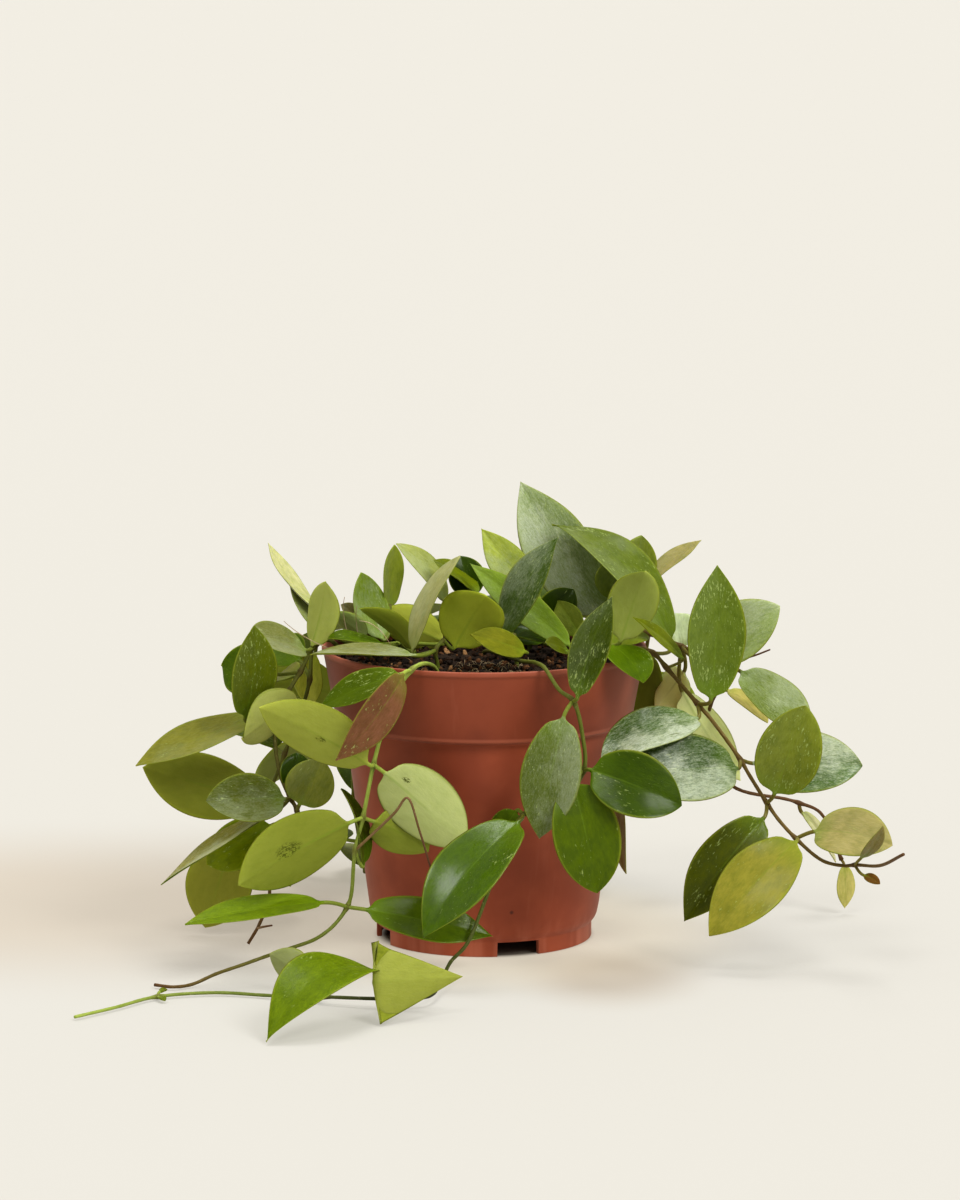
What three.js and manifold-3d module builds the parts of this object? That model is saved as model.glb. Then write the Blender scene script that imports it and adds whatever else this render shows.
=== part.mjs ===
// A trailing hoya in a 12 cm nursery pot: pot, soil, and one mesh for each leafy stem.
// Millimetres, +Z up, -Y is the front. The origin is on the table under the pot's axis.
import * as THREE from "three";
import { mergeVertices } from "three/addons/utils/BufferGeometryUtils.js";
import Module from "manifold-3d";

const wasm = await Module();
wasm.setup();
const { Manifold, Mesh } = wasm;

// Driving dimensions

const POT = {
  height: 109,
  rim: 60, // outer radius at the top
  collarFoot: 54.9, // outer radius where the wide collar ends
  collarFootZ: 82.2,
  neck: 51.8, // outer radius of the body just under the collar
  base: 42.7, // outer radius where the body rounds in to the foot ring
  baseZ: 12,
  foot: 40, // outer radius of the foot ring
  wall: 1.4,
  footWall: 1.8,
  floorZ: 6.2, // underside of the bottom
  floor: 1.8, // thickness of the bottom
  sides: 32,
};
const NOTCH = {
  count: 4, // drainage gaps in the foot ring
  first: 18.5, // degrees from the front to the middle of the first
  arc: 23, // degrees of the ring that one takes
  height: 5.3,
  reach: 8, // how far the cutting block goes in and out from the ring
};
const SOIL = {
  middle: 104.5, // height of the soil's top
  edge: 102.8, // its height at the wall
  flat: 36, // radius at which it starts to fall away
  gap: 0.3, // between the soil and the pot
  hole: 2, // radius of a stem's hole
  rootDepth: 11, // depth of that hole
};
const STEM = {
  foot: 1.15, // radius at the soil
  tip: 0.6, // radius at the growing end
  swell: 1.35, // a node is this many times thicker
  sides: 4,
  upright: [-10, -4, 1], // heights from the soil's top at which it still stands upright
  onTable: 1.4, // height of its centre line where it lies on the table
};
const LEAF = {
  thick: 0.9,
  petiole: 0.75, // radius of the leaf stalk
  foot: 1.3, // the blade's foot is this many stalk radii thick
  least: [0.8, 0.35], // half-widths at the foot and at the tip
  cup: 0.16, // rise of the blade's edge for each mm of half-width
  blunt: 0.55, // power of the sine that rounds the foot
  taper: 0.5, // what is added to that power at the tip
  early: 0.9, // under 1 moves the widest place towards the foot
  corners: [150, 90, 30, -30, -90, -150], // directions of a stalk ring's points, degrees
  stations: [0, 0.12, 0.34, 0.62, 0.86, 1], // where a blade has a ring, as shares of its length
  small: { under: 9, stations: [0, 0.3, 0.7, 1] }, // a narrow leaf has fewer
  longStalk: 10, // a stalk of this length gets a ring in the middle
};
const TRIM = 0.05; // how far a joined surface may move when its needless triangles go
const EYE = { x: -1.5, y: -2000, z: 448 }; // the viewpoint of the front view
const LOOK = {
  pot: { color: 0x96412d, roughness: 0.55 },
  soil: { color: 0x2b1c14, roughness: 0.95 },
  foliage: { color: 0x4a7a34, roughness: 0.4 },
};

// The plant

// The front of the plant is laid out as it is seen from EYE. A point is [across, back, up]: across and
// up are where it seems to be on the upright plane through the pot's axis, and back is its true depth.
// A point with no depth, [across, up], lies on the table.
function seen(point) {
  if (point.length === 2) {
    const k = (EYE.z - STEM.onTable) / (EYE.z - point[1]);
    return new THREE.Vector3(EYE.x + (point[0] - EYE.x) * k, EYE.y * (1 - k), STEM.onTable);
  }
  const k = 1 - point[1] / EYE.y;
  return new THREE.Vector3(EYE.x + (point[0] - EYE.x) * k, point[1], EYE.z + (point[2] - EYE.z) * k);
}

// Behind the pot a point is its plain place, [x, y, z].
const plain = (point) => new THREE.Vector3(...point);

// A leaf: the number of the route point that it grows from, the foot of its blade, its tip, its width,
// the way its upper side faces, and how far the middle of its midrib stands off the straight line.
// A blade that folds right over has a bend instead: the point that pulls its midrib round.
const leaf = (node, foot, tip, wide, face, arch = 3, bend = null) => (
  { node, foot, tip, wide, face, arch, bend });

// A stem: where it stands in the soil, the points that it passes through, its leaves, and dry twigs,
// each given as its thickness and its points.
const stem = (name, place, root, route, leaves, twigs = []) => ({ name, place, root, route, leaves, twigs });

const STEMS = [
  stem("vine_front_left", seen, [-17, -38],
    [[-22.5, -53, 102], [-27, -60, 99.5], [-32, -62, 92], [-37.5, -64, 77], [-41, -66, 64], [-45, -67, 44],
     [-48, -67, 31.5], [-49.5, -64, 14.5], [-51, -64, 10], [-56, -68, 3], [-62.5, -72, -2], [-71, -78, -5.3],
     [-81, -82, -8.7], [-90, -85, -12], [-100, -88, -15.5], [-109, -19.5], [-116, -20.5], [-123, -19.7]],
    [leaf(1, [-30, -65, 98], [-55, -88, 65.5], 16, [0.7, -0.65, 0.2]),
     leaf(1, [-31, -60, 98], [-61, -58, 85.5], 16, [-0.15, -0.5, 0.85], 1),
     leaf(4, [-43, -72, 64.2], [-83.5, -84, 85.6], 22.5, [0, 0.9, 0.3]),
     leaf(4, [-37, -69, 61], [-7, -62, 33], 25, [0, 1, 0.1]),
     leaf(5, [-50, -71, 42], [-91.5, -86, 18.2], 25, [0, 0.95, 0.2]),
     leaf(5, [-41, -63, 42.5], [-20.5, -57, 31], 20, [0, 0.9, 0.3]),
     leaf(6, [-45, -62, 26], [-53, -56, 55], 17, [1, -0.3, 0]),
     leaf(8, [-60, -74, 11.7], [-111.5, -92, 3.4], 20, [0.1, -0.2, 0.95], 1),
     leaf(8, [-44, -66, 9], [3.3, -62, -1.1], 18, [0.1, -0.75, 0.65], 1)],
    [[0.5, [[-48, -67, 31.5], [-33, -76, 46], [-28.5, -78, 51.5], [-24, -78, 39], [-18.5, -77, 20]]]]),

  stem("vine_front_right", seen, [0, 4],
    [[8, -12, 105], [14, -32, 103], [19.5, -52, 102.2], [22.5, -59.5, 100.3], [28, -65, 92], [33, -67, 88],
     [36.5, -67, 75], [37, -66, 61.7], [28, -62, 50], [14.5, -60, 45], [4, -60, 22], [-6, -72, -3.4],
     [-12.5, -84, -11], [-16.5, -100, -19.5], [-22, -118, -24.5], [-38, -121, -25], [-60, -115, -24.3],
     [-80, -23.8], [-100, -22.7], [-122, -24.2], [-138, -28.4], [-153, -32]],
    [leaf(5, [34.6, -71, 89.4], [47.3, -62, 127.2], 15, [-0.4, -0.9, 0.2]),
     leaf(5, [29.5, -72, 82], [20.7, -70, 36], 22, [-0.15, -1, 0.1]),
     leaf(7, [33, -70, 57.5], [42.3, -74, 15.3], 24.5, [0.15, -1, 0.1]),
     leaf(7, [39.5, -69, 62], [73.5, -74, 48.5], 24, [0.1, -0.95, 0.35]),
     leaf(9, [13, -68, 42.5], [-22.8, -94, -1.8], 26, [-0.35, -0.75, 0.5], 5),
     leaf(9, [12, -57, 46.5], [5, -54, 34], 12, [-0.5, -0.8, 0], 1),
     leaf(15, [-40, -128, -15], [-81.5, -175, -41.5], 25, [-0.35, -0.65, 0.65], 12),
     leaf(15, [-19.8, -128.8, -18], [-8.1, -130, -16.6], 29, [-0.3, 0.8, -0.5], 0, [-68, -158, -20.5]),
     leaf(16, [-66, -103, -20], [-80, -98, -7.6], 15, [0.3, 0.9, 0.3], 2),
     leaf(19, [-121, -105, -22.3], [-118.5, -102.5, -21.3], 2.6, [0, -0.3, 0.9], 0.2),
     leaf(19, [-121, -111, -24.6], [-119, -113.5, -25.6], 2.6, [0, -0.3, 0.9], 0.2)]),

  stem("vine_right", seen, [42, -10],
    [[52, -22, 106.2], [57.5, -24, 107.8], [62.5, -24, 106], [67.5, -22, 100.5], [79, -25, 87], [84.5, -28, 80.6],
     [95, -35, 66], [98.5, -38, 60], [105, -42, 49.6], [109.6, -46, 43], [116, -50, 36], [126, -56, 27.6],
     [133.7, -60, 25.7], [138, -65, 26], [147, -88, 25.7], [156, -122, 30]],
    [leaf(2, [69, -12, 109], [25, 24, 154], 22, [0.55, -0.6, 0.55], 11),
     leaf(3, [73.5, -23, 104], [55, -38, 119.5], 8, [0.45, -0.6, 0.65], 1),
     leaf(4, [84, -31, 88.5], [86, -24, 138.9], 22, [0.2, -0.95, 0.2]),
     leaf(4, [79, -30, 81.4], [43.5, -54, 66], 24, [-0.3, -0.6, 0.75]),
     leaf(6, [94, -40, 62.5], [51, -57, 59], 27, [-0.15, -0.85, 0.5]),
     leaf(6, [100, -33, 64.5], [140.4, -40, 63.4], 24, [0.15, -0.9, 0.4]),
     leaf(8, [107.8, -50, 53], [119.3, -54, 86.3], 23.5, [0, -0.95, 0.3]),
     leaf(8, [104, -46, 43.9], [74.5, -52, 4.5], 22, [-0.35, -0.9, 0.3]),
     leaf(10, [116.3, -54, 35], [84, -68, -1.1], 24, [-0.3, -0.9, 0.3]),
     leaf(10, [123, -54, 38.7], [152, -66, 33.4], 21, [0, -0.75, 0.65]),
     leaf(13, [140.5, -74, 28.8], [148.5, -82, 40.9], 7, [0.5, -0.8, 0.2], 1),
     leaf(13, [141.5, -71, 22], [147.5, -74, 18.8], 4, [0.2, -0.8, 0.5], 0.5)]),

  stem("vine_back_right", seen, [40, 22],
    [[48.4, 24, 112.5], [54.3, 27, 116.3], [61, 29, 113.4], [73, 26, 108.5], [88, 18, 100], [85, 26, 90],
     [82, 34, 76], [85, 34, 64], [93.7, 28, 55], [112, 30, 51], [117, 31, 49.5], [125, 31, 45.8], [133, 32, 28]],
    [leaf(3, [79, 16, 105], [109.3, 8, 123.7], 22, [0.1, -0.9, 0.3]),
     leaf(4, [95, 14, 99], [121, 2, 76], 20, [0.3, -0.7, 0.65], 1),
     leaf(5, [90, 29, 92], [105.2, 24, 79.8], 14, [0.4, -0.3, 0.85], 1),
     leaf(3, [73.5, 27, 91], [95.2, 18, 57.9], 18, [-0.5, 0.8, 0.2]),
     leaf(3, [74, 31, 99], [63.3, 36, 85], 18, [0.8, 0.3, 0.3], 1),
     leaf(2, [60, 36, 107], [51.5, 46, 73], 18, [0.4, 0.6, 0.3]),
     leaf(3, [73, 33, 108], [71, 38, 121], 18, [-0.2, -0.9, 0.2], 1),
     leaf(10, [118, 32, 46], [131, 36, 27], 12, [0.7, -0.3, 0.6], 1),
     leaf(12, [134, 32, 26], [134.4, 33, 9.5], 8, [0.4, -0.8, 0], 0.5)],
    [[0.45, [[88, 18, 100], [95, 15, 103.4], [101, 13, 105.4], [105.8, 12, 107.3]]]]),

  stem("vine_left", seen, [-42, -6],
    [[-52, -8, 107], [-57.3, -9, 110.8], [-62.3, -10, 109], [-68, -13, 99], [-72.6, -17, 91], [-77, -22, 80],
     [-77.5, -26, 73], [-75.6, -32, 60], [-72, -36, 51.5], [-69.5, -38, 46.5], [-70, -42, 35],
     [-79.5, -46, 18], [-80, -48, 12.5], [-83.5, -50, 4], [-84.5, -51, 1.9], [-88, -52, -4]],
    [leaf(2, [-66, -14, 107], [-87, -26, 112.5], 20, [0, -0.5, 0.85], 1),
     leaf(2, [-63.5, -12, 108.9], [-58.4, -18, 132.8], 15, [0.65, 0.7, 0.2], 1.5),
     leaf(5, [-88.5, -32, 82], [-84.8, -34, 116.5], 18, [0.45, -0.85, 0.1]),
     leaf(3, [-77, -12, 98], [-97, 6, 101], 20, [-0.2, -0.9, 0.3], 1),
     leaf(3, [-70, -6, 97], [-80, 16, 91], 18, [-0.1, -0.5, 0.85]),
     leaf(4, [-68, -25, 86.5], [-89.6, -42, 74.2], 23, [-0.2, 0.85, 0.5], 2),
     leaf(5, [-82, -20, 82], [-129.3, -34, 63.6], 21, [-0.15, -0.35, 0.9], 1),
     leaf(8, [-74, -42, 51], [-103.3, -54, 50.2], 19, [-0.1, -0.85, 0.5], 1),
     leaf(8, [-76, -38, 47.5], [-120.4, -50, 18.5], 18, [-0.6, -0.15, 0.8], 1),
     leaf(8, [-70.5, -32, 54], [-69.6, -28, 68.5], 13, [0.3, -0.9, 0.1], 1),
     leaf(9, [-68.5, -42, 49], [-60, -44, 66.2], 18, [0.1, -0.9, 0.2], 2),
     leaf(10, [-79, -29, 41], [-103, -25, 26], 18, [0, -0.9, 0.3], 1)],
    [[0.45, [[-84.5, -51, 1.9], [-82, -56, 2.5], [-79, -58, 3]]]]),

  stem("vine_left_back", seen, [-38, 12],
    [[-51.7, 11, 110.3], [-57.2, 11, 114], [-62.7, 10, 111.3], [-64.5, 6, 96], [-66.7, 4, 87.4],
     [-74, 0, 68], [-80, -4, 52], [-86, -6, 32], [-90, -4, 20], [-92, 0, 8]],
    [leaf(1, [-63, 14, 123], [-79.5, 32, 147.2], 13, [0.75, -0.28, 0.6], -1.5),
     leaf(1, [-63, 15, 116], [-71.6, 22, 131.5], 8, [0.6, -0.6, 0.4], 0.5),
     leaf(2, [-62.5, 17, 106], [-66, 25, 87], 18, [-0.6, -0.7, 0.2], 1),
     leaf(3, [-68, 15, 103], [-77, 36, 109], 16, [-0.3, -0.7, 0.6], 1),
     leaf(6, [-83, -12, 50.5], [-126.7, -20, 63], 24, [0, 0.85, -0.3]),
     leaf(7, [-95, -10, 31], [-104, -4, 2.2], 25, [0.1, 0.95, 0.2], 2),
     leaf(5, [-77, 6, 70], [-104, 32, 76], 23, [-0.5, 0.5, 0.7], 4),
     leaf(6, [-82, 3, 52], [-106, 36, 48], 23, [-0.4, 0.7, 0.6], 4),
     leaf(7, [-86, 1, 32], [-96, 38, 24], 22, [-0.4, 0.5, 0.8], 3),
     leaf(8, [-86, 0, 20], [-72, 34, 18], 20, [0.2, 0.5, 0.8], 3)]),

  stem("crown_left", seen, [-30, 2],
    [[-31, 4, 110], [-34, 8, 116], [-35, 14, 124]],
    [leaf(1, [-37.5, 4, 111], [-45.3, 9, 136.2], 16, [0.5, -0.75, 0.4], -2),
     leaf(0, [-44, 0, 111.2], [-56.5, -4, 121], 11, [0.2, 0.7, 0.6], 1.5),
     leaf(1, [-43.5, 14, 116.5], [-52.8, 13, 124.2], 8, [0.2, -0.6, 0.7], 0.5),
     leaf(0, [-26, -6, 107], [-46.2, -12, 122.8], 15, [0.3, 0.6, 0.75]),
     leaf(2, [-35.2, 16, 123], [-32.9, 20, 146.5], 15, [0.86, -0.5, 0], -0.5),
     leaf(0, [-15, 12, 110.5], [-40, 17, 120.5], 16.5, [0.1, 0.95, 0.2], 1),
     leaf(0, [-36.7, -10, 109], [-57.8, -22, 111.5], 14, [0, -0.2, 1], 1),
     leaf(1, [-38, 18, 114], [-60, 44, 113], 22, [-0.3, 0.4, 0.8]),
     leaf(1, [-30, 22, 114], [-20, 54, 117], 23, [0.2, 0.5, 0.8], 4)]),

  stem("crown_front", seen, [-17, -24],
    [[-18, -26, 107], [-15, -23, 111]],
    [leaf(0, [-26.3, -30, 106.5], [-8.9, -26, 142.3], 18, [-0.85, -0.33, 0.3]),
     leaf(0, [-25.6, -38, 105], [-64.4, -44, 105.5], 19, [0, -0.08, 1], 1),
     leaf(1, [-11, -20, 108], [1, -34, 127.5], 24, [0.1, 0.95, 0.3])]),

  stem("crown_middle_front", seen, [12, -18],
    [[12, -18, 108], [11, -14, 113]],
    [leaf(0, [15.2, -28, 106.3], [-5.2, -36, 113], 11, [0, -0.8, 0.6], 1),
     leaf(1, [7, -16, 113], [27.4, -22, 149.5], 16.5, [-0.6, -0.75, 0.2])]),

  stem("crown_middle_left", seen, [-4, 18],
    [[-3, 18, 112], [-1, 16, 120], [-1, 15, 126]],
    [leaf(2, [-5, 22, 127], [-8.8, 24, 142.4], 14, [0.2, -0.9, 0.3], 1),
     leaf(2, [-2, 16, 128], [-18.5, 20, 140.8], 16, [0.6, -0.2, 0.8], 1),
     leaf(2, [-14.5, 26, 125], [-32.4, 32, 147], 15, [0.7, -0.45, 0.55]),
     leaf(1, [0, 26, 119], [2, 58, 126], 23, [0, 0.4, 0.9], 4)]),

  stem("crown_middle_right", seen, [17, 12],
    [[17, 12, 111], [18, 13, 119], [18, 15, 124]],
    [leaf(2, [20.5, 22, 126.5], [-1.1, 30, 152.5], 14, [-0.5, -0.7, 0.5]),
     leaf(2, [22, 26, 123], [31, 58, 128], 21, [0.1, 0.4, 0.9], 4),
     leaf(0, [23.5, 8, 112.5], [4, 5, 117.5], 14, [0.2, -0.8, 0.5], 1),
     leaf(1, [22, 18, 116], [33, 19, 130], 14, [0.2, -0.8, 0.5], 1),
     leaf(0, [25.5, -3, 109.5], [11.5, -7, 112], 10, [0, -0.2, 1], 1)]),

  stem("crown_right", seen, [38, 8],
    [[40, 10, 111], [43, 16, 117], [46, 21, 123]],
    [leaf(1, [43.5, 26, 120], [13.3, 36, 170], 26, [-0.3, -0.9, 0.3], 5),
     leaf(2, [51, 22, 127], [58, 18, 150], 18, [0.3, -0.9, 0.2], 2),
     leaf(2, [58, 30, 130], [80, 42, 148.3], 13, [-0.5, -0.3, 0.8], 1),
     leaf(2, [47, 16, 126], [48, 13, 141], 13, [-0.5, -0.8, 0], 1),
     leaf(1, [52, 30, 117], [66, 58, 114], 19, [0.3, 0.2, 0.95], 3),
     leaf(0, [49, 4, 114], [61, 2, 116.5], 11, [0.1, -0.4, 0.9], 0.5)]),

  stem("crown_right_front", seen, [34, -18],
    [[35, -18, 108], [39, -18, 111.5]],
    [leaf(0, [32, -15, 108.5], [-5.2, 13, 139.6], 12.5, [-0.1, -0.8, 0.5], 2),
     leaf(1, [36, -6, 112], [27, 11, 125.5], 10, [-0.1, -0.9, 0.3], 1),
     leaf(1, [47.4, -30, 108.4], [59, -46, 94.8], 18, [0.3, -0.5, 0.8], 2),
     leaf(1, [50.5, -24, 110.5], [59.3, -36, 136.8], 18.5, [0.1, 0.9, 0.3]),
     leaf(0, [31, -22, 106.5], [22.5, -26, 110], 9, [-0.2, -0.5, 0.8], 0.5),
     leaf(1, [46, -13, 109.8], [61, -7, 112], 12, [0.1, -0.4, 0.9], 1)]),

  stem("vine_back", plain, [4, 40],
    [[5.5, 52, 108.5], [6.5, 57.5, 112], [8, 62.5, 110.5], [9, 66, 100], [8, 68, 80], [6, 70, 60],
     [2, 74, 40], [-4, 82, 20], [-10, 94, 7], [-16, 110, 1.5], [-14, 130, 1.4], [-6, 150, 1.4],
     [2, 168, 1.4], [6, 177, 1.4]],
    [leaf(2, [15, 67, 112], [42, 90, 116], 23, [0.2, 0.2, 0.95], 4),
     leaf(2, [2, 69, 109], [-24, 92, 104], 23, [-0.2, 0.2, 0.95], 4),
     leaf(4, [13, 73, 82], [42, 92, 66], 24, [0.2, 0.8, 0.5], 4),
     leaf(4, [3, 73, 82], [-28, 90, 84], 24, [-0.2, 0.8, 0.6], 4),
     leaf(6, [8, 80, 41], [38, 100, 26], 23, [0.1, 0.7, 0.7], 4),
     leaf(6, [-4, 79, 42], [-34, 93, 28], 22, [-0.2, 0.8, 0.6], 4),
     leaf(7, [2, 88, 19], [34, 120, 8], 23, [0.1, 0.3, 0.9], 4),
     leaf(9, [-21, 114, 5], [-44, 146, 7], 22, [-0.2, -0.1, 0.95], 4),
     leaf(9, [-10, 115, 6], [14, 146, 9], 22, [0.2, -0.1, 0.95], 4),
     leaf(11, [-2, 154, 4], [22, 172, 7], 15, [0.1, -0.1, 0.95], 2),
     leaf(11, [-11, 154, 4], [-30, 168, 6], 14, [-0.1, -0.1, 0.95], 2)]),

  stem("vine_back_left", plain, [-26, 32],
    [[-33.5, 40, 108], [-37, 44.5, 112], [-41, 49, 110.5], [-45, 54, 98], [-48, 58, 78], [-50, 62, 58],
     [-50, 66, 38], [-48, 72, 20], [-46, 82, 6]],
    [leaf(2, [-47, 57, 106], [-69, 80, 92], 22, [-0.4, 0.3, 0.85], 4),
     leaf(4, [-54, 58, 79], [-90, 58, 84], 24, [-0.3, 0.8, 0.5], 4),
     leaf(4, [-47, 65, 76], [-46, 104, 64], 23, [-0.2, 0.6, 0.7], 4),
     leaf(5, [-56, 64, 57], [-88, 78, 40], 23, [-0.4, 0.7, 0.6], 4),
     leaf(6, [-48, 73, 38], [-48, 110, 46], 22, [0.2, 0.5, 0.8], 3),
     leaf(7, [-53, 76, 20], [-76, 104, 8], 22, [-0.3, 0.4, 0.85], 4),
     leaf(8, [-45, 88, 6], [-52, 120, 9], 19, [0, 0.1, 0.95], 3)]),

  stem("vine_back_low", plain, [26, 34],
    [[32.5, 42, 108], [36, 46.5, 112], [40, 51, 110.5], [43, 54, 98], [45, 52, 80], [48, 46, 60],
     [46, 46, 42], [42, 54, 24], [38, 64, 10]],
    [leaf(2, [46, 57, 112], [66, 86, 116], 23, [0.3, 0.3, 0.9], 4),
     leaf(4, [50, 57, 80], [82, 74, 72], 23, [0.2, 0.8, 0.5], 4),
     leaf(5, [52, 34, 46], [53.5, 26, 17], 16, [-0.9, -0.3, 0], 1),
     leaf(5, [53, 52, 60], [80, 70, 46], 22, [0.3, 0.7, 0.6], 4),
     leaf(7, [42, 62, 24], [30, 92, 8], 22, [0.1, 0.5, 0.85], 3)]),
];

// Surfaces

// The closed surface through rings of points: neighbours are joined by two triangles a side, and the
// two ends are capped. The second half of a ring is split the other way, so the under side of a
// leaf has the same creases as its upper side.
function skin(rings) {
  const n = rings[0].length;
  const triangles = [];
  for (let i = 0; i + 1 < rings.length; i++) {
    for (let k = 0; k < n; k++) {
      const [a, b] = [i * n + k, i * n + ((k + 1) % n)];
      const [c, d] = [a + n, b + n];
      if (k < n / 2) triangles.push(a, b, d, a, d, c);
      else triangles.push(a, b, c, b, d, c);
    }
  }
  const last = (rings.length - 1) * n;
  for (let k = 1; k + 1 < n; k++) {
    triangles.push(0, k + 1, k);
    triangles.push(last, last + k, last + k + 1);
  }
  return solid(rings.flat().flatMap((point) => point.toArray()), triangles);
}

function solid(coordinates, triangles) {
  return new Manifold(new Mesh({
    numProp: 3,
    vertProperties: Float32Array.from(coordinates),
    triVerts: Uint32Array.from(triangles),
  }));
}

// A three.js geometry, such as a lathe or a box, as a solid.
function solidOf(geometry) {
  geometry.deleteAttribute("normal");
  geometry.deleteAttribute("uv");
  const merged = mergeVertices(geometry, 1e-4);
  const flat = [...merged.index.array];
  const triangles = [];
  for (let i = 0; i < flat.length; i += 3) {
    const [a, b, c] = flat.slice(i, i + 3);
    if (a !== b && b !== c && c !== a) triangles.push(a, b, c);
  }
  return solid(merged.attributes.position.array, triangles);
}

function meshOf(name, made, look) {
  const { vertProperties, triVerts } = made.getMesh();
  const geometry = new THREE.BufferGeometry()
    .setAttribute("position", new THREE.BufferAttribute(vertProperties, 3))
    .setIndex(new THREE.BufferAttribute(triVerts, 1));
  const flat = geometry.toNonIndexed();
  flat.computeVertexNormals();
  const mesh = new THREE.Mesh(flat, new THREE.MeshStandardMaterial(look));
  mesh.name = name;
  return mesh;
}

// Turns a profile of [radius, height] points about the pot's axis.
function turned(profile) {
  const points = profile.map(([r, z]) => new THREE.Vector2(r, z));
  return solidOf(new THREE.LatheGeometry(points, POT.sides).rotateX(Math.PI / 2));
}

// Pot and soil

function pot() {
  const { height, rim, collarFoot, collarFootZ, neck, base, baseZ, foot, wall, footWall, floorZ, floor } = POT;
  const body = turned([
    [0, floorZ],
    [foot - footWall, floorZ],
    [foot - footWall, 0],
    [foot, 0],
    [foot, floorZ - 0.4],
    [base - 0.9, floorZ + 1.8],
    [base, baseZ],
    [neck, collarFootZ - 1.2],
    [collarFoot, collarFootZ],
    [rim - 0.7, height - 2.4],
    [rim, height - 1.4],
    [rim, height],
    [rim - wall, height],
    [collarFoot - wall, collarFootZ + 0.8],
    [neck - wall, collarFootZ - 1.6],
    [base - wall, baseZ + 0.2],
    [foot - 0.6, floorZ + floor],
    [0, floorZ + floor],
  ]);
  const notches = Array.from({ length: NOTCH.count }, (_, i) => {
    const half = foot * Math.sin(THREE.MathUtils.degToRad(NOTCH.arc / 2));
    const block = new THREE.BoxGeometry(2 * half, 2 * NOTCH.reach, 2 * NOTCH.height);
    block.translate(0, -foot, 0);
    block.rotateZ(THREE.MathUtils.degToRad(NOTCH.first + (i * 360) / NOTCH.count));
    return solidOf(block);
  });
  return notches.reduce((made, notch) => made.subtract(notch), body);
}

// The soil fills the pot, a hair's breadth off its wall, with a plain hole for each stem.
function soil() {
  const { height, rim, collarFoot, collarFootZ, neck, base, baseZ, foot, wall, floorZ, floor } = POT;
  const { middle, edge, flat, gap, hole, rootDepth } = SOIL;
  const inner = (r) => r - wall - gap;
  const slope = (rim - collarFoot) / (height - collarFootZ);
  const fill = turned([
    [0, floorZ + floor + gap],
    [foot - 0.8 - gap, floorZ + floor + gap],
    [inner(base), baseZ + 0.5],
    [inner(neck), collarFootZ - 1.4],
    [inner(collarFoot), collarFootZ + 1],
    [inner(collarFoot + slope * (edge - collarFootZ)) - 0.3, edge],
    [flat, middle - 0.4],
    [0, middle],
  ]);
  return STEMS.reduce((made, { root }) => {
    const bore = new THREE.CylinderGeometry(hole, hole, 2 * rootDepth, 6);
    bore.rotateX(Math.PI / 2).translate(root[0], root[1], middle);
    return made.subtract(solidOf(bore));
  }, fill);
}

// Stems and leaves

// Rings of the given radii square to a curve, each turned as little as can be from the one before.
function tube(points, radii, sides) {
  let across = new THREE.Vector3(1, 0.3, 0.1).normalize();
  return points.map((p, i) => {
    const along = new THREE.Vector3()
      .subVectors(points[Math.min(i + 1, points.length - 1)], points[Math.max(i - 1, 0)])
      .normalize();
    across = across.clone().addScaledVector(along, -across.dot(along)).normalize();
    const up = new THREE.Vector3().crossVectors(along, across);
    return Array.from({ length: sides }, (_, k) => {
      const turn = (2 * Math.PI * k) / sides;
      return p.clone()
        .addScaledVector(across, radii[i] * Math.cos(turn))
        .addScaledVector(up, radii[i] * Math.sin(turn));
    });
  });
}

// The half-width of a blade at the share t of its length: round at the foot, drawn out at the tip.
function halfWidth(t, wide) {
  const bow = Math.sin(Math.PI * Math.pow(t, LEAF.early));
  return (wide / 2) * Math.pow(Math.max(bow, 0), LEAF.blunt + LEAF.taper * t);
}

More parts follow.
